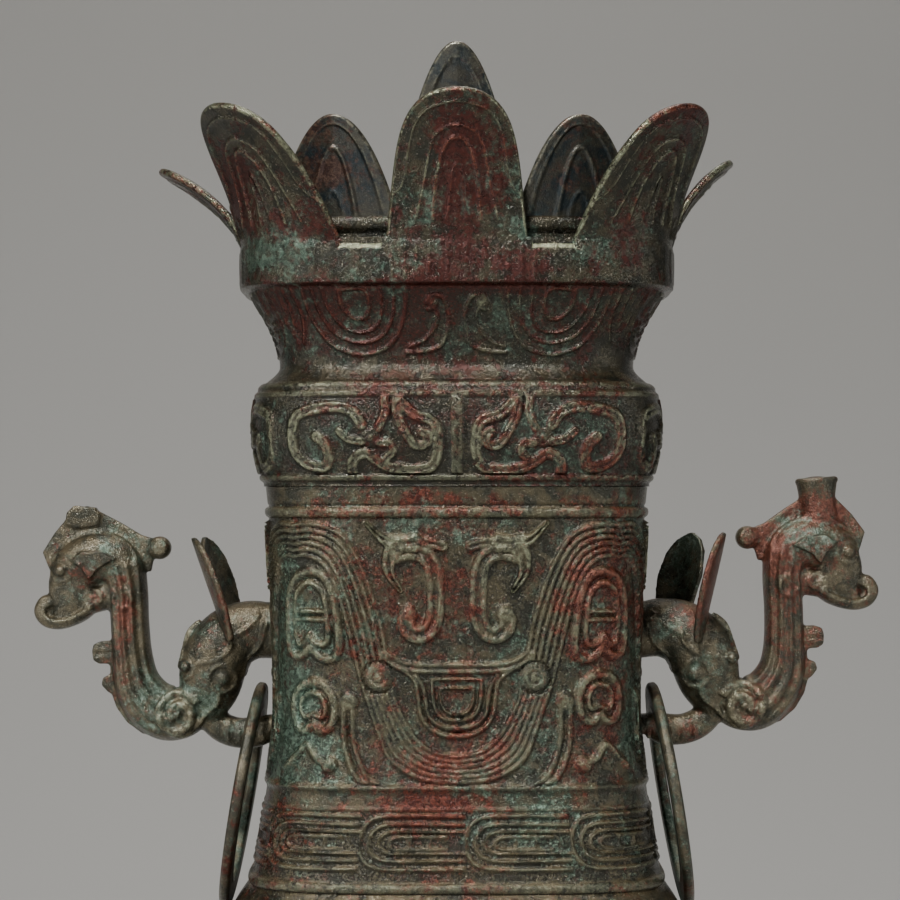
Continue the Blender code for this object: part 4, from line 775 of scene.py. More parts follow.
rows += wall_rows(lid_half, LID_FOOT, CROWN_TOP - 0.0003, 40, UNDER_SKIN)
rows += [(CROWN_HALF, WALL, CROWN_TOP), (CROWN_HALF, WALL, web), (CROWN_HALF, COLLAR_OUTER, web),
         (CROWN_HALF, COLLAR_OUTER, COLLAR_TOP - COLLAR_LIP - 0.001)]
for turn in np.linspace(-1, 1, 7):
    bulge = COLLAR_OVERHANG * (1 - turn ** 4) ** 0.5
    rows.append((CROWN_HALF, COLLAR_OUTER - bulge, COLLAR_TOP - 0.5 * COLLAR_LIP * (1 - turn)))
rows += [(CROWN_HALF, COLLAR_INNER, COLLAR_TOP), (CROWN_HALF, COLLAR_INNER, CROWN_FOOT)]
rows += wall_rows(lid_half, CROWN_FOOT - 0.003, WAIST_LEVEL + 0.003, 8, WALL)
rows.append((lid_half(WAIST_LEVEL), WALL + 0.004, WAIST_LEVEL))
piece = loft_rows("lid_core", round_plan((36, 28, 36, 28)), rows)
piece.data.materials.append(lid_bronze)
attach(piece, "vessel")
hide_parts("lid")


# Petals of the crown, cast with the lid: eight blunt ones lean out from its band, and eight pointed ones
# stand on the collar. Each is a bent plate with a rounded edge, threads along its outline and nested arches.
PETAL_THICKNESS = 3.4
PETAL_ROOT = 6.0
PETAL_TONE_TOP = 1.6
EDGE_ROUND = 1.3
EDGE_SEEN = 12.0
# Rows and columns of a petal's grid.
FINE, MIDDLING, PLAIN = (84, 96), (60, 56), (40, 36)
BLUNT = {"blunt": True, "inset": 0.0, "base": CROWN_TOP}
POINTED = {"blunt": False, "inset": COLLAR_OUTER, "base": COLLAR_TOP}
BLUNT_TAPER = 0.22
# Width, rise and flare of the blunt petals over the right and the left side.
SIDE_PETAL_SIZE = {1: (56.0, 41.0, 30.5), 3: (56.0, 37.0, 40.0)}
CORNER_PETAL_FLARE = (27.5, 27.5, 30.0, 30.0)


def plan_place(half, inset, side, along):
    """Places on the plan, in metres: side 0 front, 1 right, 2 back, 3 left; along is from its middle."""
    _, ux, uy, _ = quarter_plan()
    x, y = (half - inset) * ux, (half * DEPTH_SHARE - inset) * uy / DEPTH_SHARE
    arc = np.concatenate([[0.0], np.cumsum(np.hypot(np.diff(x), np.diff(y)))])
    reach = np.abs(along) if side % 2 == 0 else arc[-1] - np.abs(along)
    px, py = np.interp(reach, arc, x), np.interp(reach, arc, y)
    px, py = (np.sign(along) * px, -py) if side % 2 == 0 else (px, np.sign(along) * py)
    return (px, py) if side < 2 else (-px, -py)


def corner_reach(half, side):
    """Arc length from the middle of a side to its corner."""
    length, _, _, corner = quarter_plan()
    return half * (corner if side % 2 == 0 else length[-1] - corner)


def beyond_corner(half, inset, side, reach):
    """Places counted from the corner at the right end of a side, on toward the next side."""
    here = plan_place(half, inset, side, corner_reach(half, side) + np.minimum(reach, 0))
    following = (side + 1) % 4
    there = plan_place(half, inset, following, -corner_reach(half, following) + np.maximum(reach, 0))
    return tuple(np.where(reach <= 0, a, b) for a, b in zip(here, there))


# Lines of a blunt petal, as shares of its foot's half width and of its rise: (line, width, height) in mm.
BLUNT_LINES = [([(0, 0.912), (0.22, 0.895), (0.44, 0.85), (0.60, 0.74), (0.68, 0.58), (0.72, 0.43),
                 (0.80, 0.33), (0.91, 0.27), (0.95, 0.08)], 1.5, 0.7),
               ([(0, 0.755), (0.14, 0.74), (0.29, 0.69), (0.37, 0.60), (0.43, 0.46), (0.48, 0.33),
                 (0.58, 0.12)], 1.6, 0.85),
               ([(0, 0.67), (0.08, 0.66), (0.15, 0.62), (0.21, 0.56), (0.28, 0.43), (0.32, 0.26),
                 (0.34, 0.12)], 2.2, 0.85),
               ([(0, 0.49), (0.05, 0.46), (0.08, 0.37), (0.10, 0.26), (0.14, 0.12)], 1.4, 0.7)]
FOOT_LINES = [[(0.70, 0.05), (0.70, 0.15), (0.79, 0.20), (0.88, 0.15), (0.88, 0.05)],
              [(0.77, 0.04), (0.81, 0.12)]]
# Arches of a pointed petal: top and spread as shares of its rise and half width, then width and height in mm.
POINTED_LINES = ((0.90, 0.80, 1.6, 0.7), (0.66, 0.36, 2.2, 0.7), (0.24, 0.17, 1.4, 0.6))


def petal_half(share, kind):
    """Half width of a petal at a share of its rise, as a share of its foot's. A pointed one is a parabola."""
    if kind["blunt"]:
        return (1 - BLUNT_TAPER * share) * (1 - share ** 6) ** 0.455
    return np.sqrt(1 - share * 0.999)


def petal_relief(u, v, width, rise, kind):
    """Height in mm of a petal's nested lines; a pointed petal has a raised border outside its first line."""
    height = np.zeros(u.shape)
    half = 0.5 * width
    if not kind["blunt"]:
        for top, spread, line, proud in POINTED_LINES:
            level = v / (top * rise) + (u / (spread * half)) ** 2
            slope = np.hypot(2 * u / (spread * half) ** 2, 1 / (top * rise))
            away = np.abs(level - 1) / slope
            height = np.maximum(height, proud * np.clip(1 - (2 * away / line) ** 2, 0, 1))
            if top == POINTED_LINES[0][0]:
                height = np.where(level > 1, np.maximum(height, 0.45), height)
        return height
    for line, wide, proud in BLUNT_LINES:
        arm = [(s * half, t * rise) for s, t in line]
        ridge(height, u, v, [(-s, t) for s, t in arm[:0:-1]] + arm, wide, proud)
    for line in FOOT_LINES:
        for hand in (-1, 1):
            ridge(height, u, v, [(hand * s * half, t * rise) for s, t in line], 1.2, 0.45)
    return height


def petal_seat(inset, side, centre, across):
    """Place of a petal's foot, the way along it, and the curve of the plan under it at each point across.

    The centre is in mm from the middle of its side; where it is None, the foot lies round the right corner.
    """
    half, behind = CROWN_HALF, inset + 0.5 * WALL
    if centre is None:
        x, y = (float(c) for c in plan_place(half, inset, side, np.array(corner_reach(half, side))))
        tangent = np.array([-y, x]) / np.hypot(x, y)
        return (x, y), tangent, beyond_corner(half, behind, side, across)
    x, y = (float(c) for c in plan_place(half, inset, side, np.array(centre * MM)))
    ends = plan_place(half, inset, side, np.array([centre * MM - 0.004, centre * MM + 0.004]))
    tangent = np.array([ends[0][1] - ends[0][0], ends[1][1] - ends[1][0]])
    tangent /= np.linalg.norm(tangent)
    return (x, y), tangent, plan_place(half, behind, side, centre * MM + across)


def petal_sheet(kind, side, centre, rise, flare, up, u):
    """Middle surface of a petal: at its foot it follows the plan, and higher up it is flatter and leans out.

    The lean is flare times 0.32 t + 0.68 t^2, for t the share of the rise.
    """
    (cx, cy), tangent, wall = petal_seat(kind["inset"], side, centre, u * MM)
    out = np.array([tangent[1], -tangent[0]])
    lift = np.clip(up, 0, 1)
    lean = flare * MM * (0.32 * lift + 0.68 * lift ** 2)
    flat = np.minimum(1, 1.5 * lift) * 0.85
    bow = 0.5 * WALL + 0.10 * np.abs(u) * MM
    x = wall[0] * (1 - flat) + (cx - out[0] * bow + tangent[0] * u * MM) * flat + out[0] * lean
    y = wall[1] * (1 - flat) + (cy - out[1] * bow + tangent[1] * u * MM) * flat + out[1] * lean
    z = kind["base"] + 0.994 * rise * MM * (up - 0.06 * lift ** 3 + 0.06 * lift ** 2) + 0 * u
    return np.stack([x, y, z], axis=2)


def edge_distance(u, v, width, rise, kind):
    """Distance in mm of each point of a petal from its outline, no more than EDGE_SEEN."""
    share = 1 - (1 - np.linspace(0, 0.9995, 60)) ** 1.5
    reach = 0.5 * width * petal_half(share, kind)
    right, left = np.stack([reach, rise * share], axis=1), np.stack([-reach, rise * share], axis=1)
    near, distance, _ = from_line(u, v, np.concatenate([right, left[::-1]]), EDGE_SEEN, 1)
    edge = np.full(u.shape, EDGE_SEEN)
    edge[near] = np.minimum(distance, EDGE_SEEN)
    return edge


def petal_piece(name, kind, side, centre, width, rise, flare, cells):
    """One petal: its sheet thickened both ways, thin at the rounded edge, with its lines on both faces."""
    rows, columns = cells
    up = np.concatenate([[-PETAL_ROOT / rise], 1 - (1 - np.linspace(0, 0.9995, rows)) ** 1.25])[:, None]
    u = 0.5 * width * petal_half(np.clip(up, 0, 1), kind) * np.linspace(-1, 1, columns)[None, :]
    v = rise * up + 0 * u
    grid = petal_sheet(kind, side, centre, rise, flare, up, u)
    normal = np.cross(np.gradient(grid, axis=1), np.gradient(grid, axis=0))
    normal /= np.linalg.norm(normal, axis=2, keepdims=True)
    edge = edge_distance(u, v, width, rise, kind)
    height = petal_relief(u, v, width, rise, kind)
    rounded = np.where(v < 0, 1, np.sqrt(1 - np.clip(1 - edge / EDGE_ROUND, 0, 1) ** 2))
    body = 0.5 * PETAL_THICKNESS * (0.22 + 0.78 * rounded)
    front = grid + normal * ((body + height) * MM)[:, :, None]
    back = grid - normal * ((body + 0.6 * height) * MM)[:, :, None]
    # The rim term paints the outline's edge pale: edge wear, with a painted highlight along the rim.
    rim = np.clip(1.4 - edge / 1.1, 0, 1)
    tone = np.concatenate([(0.56 + 0.95 * height + rim).ravel(), (0.50 + 0.8 * height + rim).ravel()])
    points = np.concatenate([front.reshape(-1, 3), back.reshape(-1, 3)])
    return add_mesh(name, points, plate_faces(*u.shape), np.minimum(tone, PETAL_TONE_TOP))


def plate_faces(rows, columns):
    """Faces of a closed plate between a front grid and a back grid of points."""
    front = grid_faces(rows, columns, False, False)
    other = rows * columns
    back = [tuple(other + k for k in reversed(face)) for face in front]
    edge = ([c for c in range(columns)] + [r * columns + columns - 1 for r in range(1, rows)]
            + [(rows - 1) * columns + c for c in range(columns - 2, -1, -1)]
            + [r * columns for r in range(rows - 2, 0, -1)])
    rim = [(b, a, other + a, other + b) for a, b in zip(edge, edge[1:] + edge[:1])]
    return front + back + rim


PETALS = []
for side, place in enumerate(("front", "right", "back", "left")):
    facing = side % 2 == 0
    size = (60.0, 61.0, 20.0) if facing else SIDE_PETAL_SIZE[side]
    PETALS.append(("outer_" + place, BLUNT, side, 0.0, *size, FINE if side == 0 else PLAIN))
    PETALS.append(("corner_" + place, BLUNT, side, None, 66.0, 55.5, CORNER_PETAL_FLARE[side],
                   FINE if side in (0, 3) else PLAIN))
    PETALS.append(("inner_" + place, POINTED, side, 0.0, 56.0, 75.0 if facing else 36.0, 3.0, PLAIN))
    for hand, letter in ((-1, "_a"), (1, "_b")) if facing else ():
        PETALS.append(("inner_" + place + letter, POINTED, side, hand * 53.0, 56.0, 44.0, 3.0,
                       MIDDLING if side == 0 else PLAIN))
# The pointed petals' bronze: they stand in the crown's shade, so it is greyer, duller and hardly red.
# Its glint colour, a painted highlight, is dimmer.
PETAL_COLOURS = LID_COLOURS | {"dark": "#1c2426", "brown": "#35332b", "teal": "#293b38", "pale": "#46574f",
                               "red": "#33201a", "rust": "#4b362a", "wear_and_painted_highlight": "#767363",
                               "wear_and_painted_highlight_red": "#6a5142", "painted_glint": "#5c5f5a"}
petal_bronze = patinated_bronze(
    "bronze_pointed_petals", PETAL_COLOURS,
    [((hand * 0.055, -0.05, 0.495), (0.012, 0.05, 0.008), 0.10) for hand in (-1, 1)], [],
    {"red": 0.02, "teal": 0.0, "rough": 0.20, "bump": 0.25}, 9.0)
for petal in PETALS:
    piece = petal_piece("petal_" + petal[0], *petal[1:])
    piece.data.materials.append(lid_bronze if petal[1]["blunt"] else petal_bronze)
    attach(piece, "vessel")
    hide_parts("lid")


# Rings: each is a loose bronze casting that hangs in its handle's lower link and leans on the belly. It is a
# flat band with a raised rim on its inner and outer edge.
RING_OUTER = 50.5
RING_BAND = 13.0
RING_HALF_THICKNESS = 2.5
RING_RIM = 0.45
RING_CELLS = (160, 36)
RING_PIVOTS = {-1: ((-0.0882, 0.0, 0.267), 9.3), 1: ((0.0886, 0.0, 0.267), 9.1)}
# The rings' bronze: plain, a little paler and greener than the body, with no marked red.
RING_COLOURS = BRONZE_COLOURS | {"dark": "#35342a", "brown": "#5c5544", "teal": "#40574b", "pale": "#7a8c7e"}
ring_bronze = patinated_bronze(
    "bronze_ring", RING_COLOURS, [((0.0, 0.0, 0.2), (0.2, 0.2, 0.02), 0.05)],
    [((0.0, 0.0, 0.2), (0.3, 0.3, 0.3), 0.07)],
    {"red": 0.01, "teal": 0.03, "rough": 0.24, "bump": 0.5}, 11.0)


def full_turn(count):
    """Angles of count equal steps round a circle."""
    return np.linspace(0, 2 * pi, count, endpoint=False)


def squared_off(wave, power):
    """A sine or cosine with flatter crests, which turns a circle into a rounded box."""
    return np.sign(wave) * np.abs(wave) ** power


def ring_piece(name, side):
    """Flat annulus in mm, a rounded box in section, turned to its lean and set on its pivot."""
    turns, sides = RING_CELLS
    turn = full_turn(turns)[:, None]
    angle = full_turn(sides)[None, :]
    across = squared_off(np.cos(angle), 0.35)
    through_it = squared_off(np.sin(angle), 0.5)
    middle = RING_OUTER - 0.5 * RING_BAND
    rim = RING_RIM * np.exp(-((np.abs(across) - 0.72) / 0.16) ** 2)
    radius = middle + 0.5 * RING_BAND * across + 0 * turn
    out = (RING_HALF_THICKNESS - RING_RIM + rim) * through_it + 0 * turn
    pivot, lean = RING_PIVOTS[side]
    lean = -side * radians(lean)
    px, pz = out, radius * np.cos(turn) - middle
    x = pivot[0] + MM * (px * np.cos(lean) + pz * np.sin(lean))
    z = pivot[2] + MM * (pz * np.cos(lean) - px * np.sin(lean))
    y = MM * radius * np.sin(turn)
    tone = 0.5 + 1.4 * rim + 0 * turn
    return add_mesh(name, np.stack([x, y, z], axis=2), grid_faces(turns, sides, True, True), tone)


for side, word in ((-1, "left"), (1, "right")):
    piece = ring_piece("ring_band_" + word, side)
    piece.data.materials.append(ring_bronze)
    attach(piece, "ring_" + word)
    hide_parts("ring_" + word)


# Handles of bronze, cast onto the neck: a beast's head on an arm, its trunk dropping and turning up in an S
# to end in a small elephant's head. Each is drawn in mm as (out, up) in its plane, then fused and smoothed.
HANDLE_LEVEL = 0.2965
HANDLES_WIDTH = 0.3810
HANDLE_ROOT = {-1: 0.0786, 1: 0.0790}
HANDLE_TILT = {-1: -1.0, 1: 4.0}
SNOUT_TIP = (109.4, 10.0)
SNOUT_TIP_RADIUS = 3.1
ROOT_DEPTH = 0.0025
FUSE_SIZE = 0.80
DISC_PROFILE = [(0.1, -1.0), (0.6, -0.93), (0.9, -0.75), (1.0, -0.5), (1.0, 0.5), (0.9, 0.75), (0.6, 0.93),
                (0.1, 1.0)]
EAR_WIDTH = 26.0
EAR_THICKNESS = 4.0
EAR_BESIDE = 17.0
EAR_BOW = 2.4


def bar(spine, sides=24, ribs=0, rib_height=0.0, square=0.8, steps=5):
    """Bar with rounded ends through rows of (out, up, half width, half depth), squarish in section.

    Ribs run along both of its faces, as waves of the cosine across it.
    """
    rows = smooth_line(spine, steps)
    ahead = np.gradient(rows[:, :2], axis=0)
    ahead /= np.linalg.norm(ahead, axis=1, keepdims=True)
    ends = []
    for row, way, hand in ((rows[0], ahead[0], -1), (rows[-1], ahead[-1], 1)):
        for share in (0.5, 0.85, 0.98):
            size = (1 - share * share) ** 0.5
            ends.append((*(row[:2] + hand * way * 0.45 * share * row[2]), *(size * row[2:])))
    rows = np.concatenate([np.array(ends[2::-1]), rows, np.array(ends[3:])])
    ahead = np.concatenate([ahead[:1]] * 3 + [ahead] + [ahead[-1:]] * 3)
    angle = full_turn(sides)[None, :]
    c, s = squared_off(np.cos(angle), square), squared_off(np.sin(angle), square)
    wave = rib_height * (0.5 - 0.5 * np.cos(pi * ribs * (c + 1))) * np.abs(s) if ribs else 0 * c
    half, depth = rows[:, 2:3], rows[:, 3:4]
    out = rows[:, :1] - ahead[:, 1:2] * half * c
    up = rows[:, 1:2] + ahead[:, :1] * half * c
    deep = depth * s + np.sign(s) * wave
    points = np.stack([out, deep, up], axis=2)
    return closed_tube(points)


def closed_tube(points):
    """Points and faces of a tube of rings, capped at both ends."""
    rows, sides = points.shape[:2]
    faces = grid_faces(rows, sides, False, True)
    faces.append(list(range(sides))[::-1])
    faces.append(list(range((rows - 1) * sides, rows * sides)))
    return points.reshape(-1, 3), faces


def slab_shape(outline, near, far):
    """Flat piece in the handle's plane between two depths, from a smooth closed outline."""
    outline = np.asarray(outline, float)
    count = len(outline)
    points = np.concatenate([np.insert(outline, 1, near, axis=1), np.insert(outline, 1, far, axis=1)])
    faces = [list(range(count)), list(range(count, 2 * count))[::-1]]
    faces += [[(k + 1) % count, k, count + k, count + (k + 1) % count] for k in range(count)]
    return points, faces


def disc_shape(place, radius, reach):
    """Round boss through the handle, domed a little on both faces."""
    turn = full_turn(28)[None, :]
    size, deep = np.array(DISC_PROFILE)[:, :1] * radius, np.array(DISC_PROFILE)[:, 1:] * reach
    out, up = place[0] + size * np.cos(turn), place[1] + size * np.sin(turn)
    return closed_tube(np.stack([out, deep + 0 * turn, up], axis=2))


def ear_shape(foot, tip, hand, splay):
    """Upright leaf of an ear: a plate across the handle's plane with a rounded edge, its front dished."""
    up = np.array([tip[0] - foot[0], 0.0, tip[1] - foot[1]])
    length = np.linalg.norm(up)
    up /= length
    across = np.array([np.sin(splay), np.cos(splay), 0.0])
    normal = np.cross(up, across)
    normal /= np.linalg.norm(normal)
    t = np.linspace(0, 1, 26)[:, None]
    turn = full_turn(40)[None, :]
    half = EAR_WIDTH * np.interp(t, [0, 0.25, 0.55, 0.80, 0.93, 1.0], [0.24, 0.42, 0.50, 0.42, 0.26, 0.03])
    side = squared_off(np.cos(turn), 0.6)
    deep = 0.5 * EAR_THICKNESS * squared_off(np.sin(turn), 0.5) * (0.55 + 0.45 * np.abs(side) ** 3)
    centre = np.array([foot[0], hand * EAR_BESIDE, foot[1]])
    cup = EAR_BOW * side ** 2 * np.sin(pi * t) ** 0.5
    points = (centre + t[:, :, None] * length * up + (half * side)[:, :, None] * across
              + (deep + cup)[:, :, None] * normal)
    return closed_tube(points)


def lip_shape(place, half, depth, thick):
    """Rounded rim that lies level round an upright horn."""
    turn, angle = full_turn(48)[:, None], full_turn(12)[None, :]
    out = place[0] + (half + thick * np.cos(angle)) * np.cos(turn)
    deep = (depth + thick * np.cos(angle)) * np.sin(turn)
    points = np.stack([out, deep, place[1] + thick * np.sin(angle) + 0 * turn], axis=2)
    return points.reshape(-1, 3), grid_faces(48, 12, True, True)


def curl(centre, outer, inner, start, turns, steps=26):
    """Points of a spiral that winds inward; turns is negative for the other way round."""
    angle = radians(start) + 2 * pi * turns * np.linspace(0, 1, steps)
    radius = np.linspace(outer, inner, steps)
    return [(centre[0] + r * np.cos(a), centre[1] + r * np.sin(a)) for r, a in zip(radius, angle)]


def drawn_on(tree, line, radius, steps=4):
    """Raised strokes on both faces of the handle: tubes that follow its surface along a drawn line."""
    path = smooth_line(line, steps)
    shapes = []
    for hand in (-1, 1):
        deep, last = [], None
        for out, up in path:
            hit = tree.ray_cast(Vector((out, hand * 60.0, up)), Vector((0, -hand, 0)))[0]
            last = hit.y if hit is not None else last
            deep.append(last)
        first = next((d for d in deep if d is not None), hand * 3.0)
        deep = np.array([first if d is None else d for d in deep])
        kernel = np.ones(5) / 5
        deep = np.convolve(np.pad(deep, 2, mode="edge"), kernel, mode="valid")
        ahead = np.gradient(path, axis=0)
        ahead /= np.linalg.norm(ahead, axis=1, keepdims=True) + 1e-9
        turn = full_turn(8)[None, :]
        out = path[:, :1] - ahead[:, 1:] * radius * np.cos(turn)
        up = path[:, 1:] + ahead[:, :1] * radius * np.cos(turn)
        rings = np.stack([out, deep[:, None] + radius * np.sin(turn), up], axis=2)
        shapes.append(closed_tube(rings))
    return shapes


def joined(shapes):
    """Points and faces of several closed shapes as one list."""
    points, faces, start = [], [], 0
    for shape_points, shape_faces in shapes:
        points.append(shape_points)
        faces += [[start + k for k in face] for face in shape_faces]
        start += len(shape_points)
    return np.concatenate(points), faces


TRUNK = [(40, -33, 10, 9.5), (46, -36, 11.5, 9.5), (53, -35.5, 12.5, 9.5), (60, -31, 11.8, 9.5),
         (65.5, -22, 10.3, 9.3), (67.5, -10, 8.9, 9), (68.5, 5, 8.6, 8.8), (69, 20, 8.8, 9),
         (71, 30, 9.5, 9.5)]
ARM = [(-14, 0.5, 13, 12), (-4, 0.5, 13, 12), (10, 0.5, 12.5, 12)]
BEAST_HEAD = [(6, 0.5, 12.5, 12), (14, 0.5, 13.4, 13), (23, -3, 14.6, 15.5), (30, -12, 15.2, 15.5),
              (33, -24, 14, 14), (37, -35, 10.5, 10)]
LINK = [(34, -38, 5.5, 7.4), (27, -43, 6.6, 7.2), (19, -45.4, 6.8, 6.8), (10, -44.4, 6.8, 6.8),
        (4.5, -42, 4.8, 6.8), (-14, -42, 4.8, 7.2)]
DOME = [(69, 18, 9, 8.6), (72, 29, 10.6, 9.8), (80, 34, 11.4, 10.8), (90, 31.5, 11, 10.4),
        (96.5, 24, 8.4, 8.2), (98, 14, 6.4, 6.4)]
MUZZLE = [(91, 24, 8.4, 8.8), (93.5, 17, 8.6, 8), (96.5, 12, 7, 6.6), (99.5, 8, 4.6, 5)]
LIP = [(84.5, 14, 3.2, 7.8), (89, 9.4, 3, 7.6), (95, 6.4, 2.8, 6.6), (101, 5.2, 2.8, 5.6),
       (106.3, 6.6, 2.8, 5), (108.8, 11, 2.9, 4.8), (106.4, 15.6, 2.6, 4.6), (102.6, 15, 1.8, 4.2)]
JAW = [(74, 19, 7, 7.5), (84, 15.5, 6, 7), (90, 12, 4.5, 6.5)]
CURL_DISC = (SNOUT_TIP[0] - 5.2, SNOUT_TIP[1] + 1.5)
EARS = {(-1, -1): ((22.6, -4.0), (36.0, 42.6), 20.0), (-1, 1): ((22.4, -3.0), (37.6, 42.8), 12.0),
        (1, -1): ((28.0, -6.0), (42.6, 41.6), 14.0), (1, 1): ((19.0, -2.0), (31.5, 42.0), 46.0)}
HORN = [(87.2, 42, 9.6, 8), (87.2, 48, 8.5, 7.6), (87.2, 54, 8.2, 7.4), (87.4, 59.6, 9, 8)]
HORN_LIP = ((87.5, 61.6), 8.1, 6.6, 1.6)
CREST = [(107.4, 37.2), (102, 45.6), (95.9, 52.6), (91, 55.8), (87, 57.8), (84.4, 56.6), (82.4, 55.6),
         (72, 50), (62.6, 44.2), (55.4, 42), (58.6, 27.4), (66, 30), (84, 40), (98, 32), (104.4, 29.4)]
UPPER_KNOB = [(75.5, -13.2), (82.4, -13.2), (85, -11.6), (85.6, -7.6), (84.8, -4.4), (82, -3.2),
              (75.5, -3)]
LOWER_KNOB = [(73, -26.6), (78.6, -26), (81.6, -22.6), (80.8, -19.4), (77.6, -18), (74, -18)]
FLANGE = [(66, -3), (77.8, -3), (77.4, -26), (75, -33), (70.4, -39.6), (63.6, -44.8), (56, -46.6),
          (56, -40), (66, -30)]
EAR_FLAP = [(73.5, 33.6), (79, 36.8), (88, 37.6), (92, 34.2), (88.2, 29.6), (85.2, 24.4), (81.6, 29.4),
            (76, 32.6)]
CREST_STUB = [(81, 53.5), (83, 57), (88, 57.4), (92.6, 58), (96, 55), (97, 50), (92, 48), (82, 49)]
EYE = (98.4, 28.9)
WHORL = (46.4, -36.2)
NAPE_BALL = (54.5, 38.3)
CHEEK = (70.8, 15.8)
BEAST_EYE = (26.0, -20.0)
BROW_KNOB = (42.4, -14.4)
# Discs through both faces: place, radius and reach. Slabs: outline and the two depths between which it lies.
DISCS = [(NAPE_BALL, 5.2, 4.6), (CURL_DISC, 4.4, 2.6), (EYE, 3.2, 11.2), (CHEEK, 3.0, 9.8),
         (WHORL, 9.6, 11.0), (WHORL, 2.4, 13.2), (BROW_KNOB, 3.4, 16.2), (BEAST_EYE, 4.6, 15.8)]
SLABS = [(CREST, -2.1, 2.1), (UPPER_KNOB, -3.3, 3.3), (LOWER_KNOB, -2.9, 2.9), (FLANGE, -2.0, 2.0)]

# Raised lines drawn on both faces: line and radius. First the elephant's head, then whorl and beast's head.
STROKES = [
    ([(63, 24.3), (64.6, 34.5), (68.5, 40.2), (75.7, 44.2), (85.4, 45.6), (93.4, 43.2), (99, 38.4),
      (102.2, 33)], 0.9),
    ([(88.8, 31.4), (93, 34.6), (96.6, 36.4), (100.4, 35.8), (102.6, 32.8)], 1.3),
    (curl(EYE, 4.9, 4.9, 0, 1.0), 0.8),
    (curl((83.4, 16.4), 4.6, 1.2, -60, 1.3), 1.3),
    ([(84.6, 12.4), (89.4, 9.8), (95, 7.2), (101, 6.2), (106, 8), (107, 12), (104.2, 14.6)], 1.2),
    (curl(CHEEK, 4.3, 4.3, 0, 1.0), 1.0),
    (curl(NAPE_BALL, 3.6, 0.6, 60, 1.4), 1.0),
    (curl(WHORL, 10.5, 2.6, 150, -1.55, 44), 2.2),
    ([(20.6, -0.6), (21.9, -6.4), (26, -10.4), (30.2, -12.4), (37.1, -12.7)], 1.0),
    (curl(BEAST_EYE, 6.0, 6.0, 0, 1.0), 1.0),
    ([(27.6, -26.6), (28.8, -31.6), (33.8, -35.8), (37.4, -40.4), (41.7, -44.4), (47.2, -45.4),
      (53.4, -42)], 1.3),
    ([(37.8, -12.8), (38.6, -17.2), (42.2, -19.4), (45.6, -17.7)], 1.1),
    ([(37, 5), (41.4, 0.7), (43.6, -6.3), (45.4, -15)], 1.2),
    ([(6, 4.6), (9, -5.4), (15, -12), (17.4, -20)], 1.1),
    ([(9, 8), (14, 2.4), (19.6, -1)], 0.9)]
STROKES += [([(29.4 + 1.9 * k, -5.6 - 0.3 * k), (28.6 + 2.1 * k, -10.8 - 0.2 * k)], 0.7) for k in range(5)]
STROKES += [([(76.8, -6.6 - 3.4 * k), (85.0, -6.9 - 3.4 * k)], 0.7) for k in range(2)]
STROKES += [([(at, -48.4), (at + 0.6, -44.0), (at - 0.6, -39.2)], 0.8) for at in 24.0 - 5.2 * np.arange(6)]


def handle_shapes(side):
    """Closed shapes of one handle before they are fused. Only the right one keeps its horn."""
    shapes = [bar(TRUNK, 96, 4, 1.8, 0.75), bar(BEAST_HEAD, 32), bar(ARM, 32), bar(LINK), bar(DOME, 32),
              bar(MUZZLE, 28), bar(LIP), bar(JAW)]
    shapes += [disc_shape(*disc) for disc in DISCS] + [slab_shape(*slab) for slab in SLABS]
    for hand in (-1, 1):
        foot, tip, splay = EARS[side, hand]
        shapes.append(ear_shape(foot, tip, hand, -hand * radians(splay)))
        shapes.append(slab_shape(EAR_FLAP, *sorted((hand * 8.0, hand * 12.8))))
    if side > 0:
        shapes.append(bar(HORN, 36, square=1.0))
        shapes.append(lip_shape(*HORN_LIP))
    else:
        shapes.append(slab_shape(CREST_STUB, -3.0, 3.4))
    return shapes


def fused(name, shapes):
    """Points and faces of the shapes grown into one, filled with cells of FUSE_SIZE mm and smoothed once."""
    raw = bpy.data.meshes.new(name)
    points, faces = joined(shapes)
    raw.from_pydata(points, [], faces)
    carrier = bpy.data.objects.new(name, raw)
    bpy.context.scene.collection.objects.link(carrier)
    fuse = carrier.modifiers.new("fuse", "REMESH")
    fuse.mode = "VOXEL"
    fuse.voxel_size = FUSE_SIZE
    soften = carrier.modifiers.new("soften", "SMOOTH")
    soften.factor = 0.5
    soften.iterations = 1
    bpy.context.view_layer.update()
    graph = bpy.context.evaluated_depsgraph_get()
    grown = bpy.data.meshes.new_from_object(carrier.evaluated_get(graph))
    bpy.data.objects.remove(carrier, do_unlink=True)
    places = np.empty(3 * len(grown.vertices), np.float32)
    grown.vertices.foreach_get("co", places)
    return places.reshape(-1, 3).astype(float), [tuple(face.vertices) for face in grown.polygons]


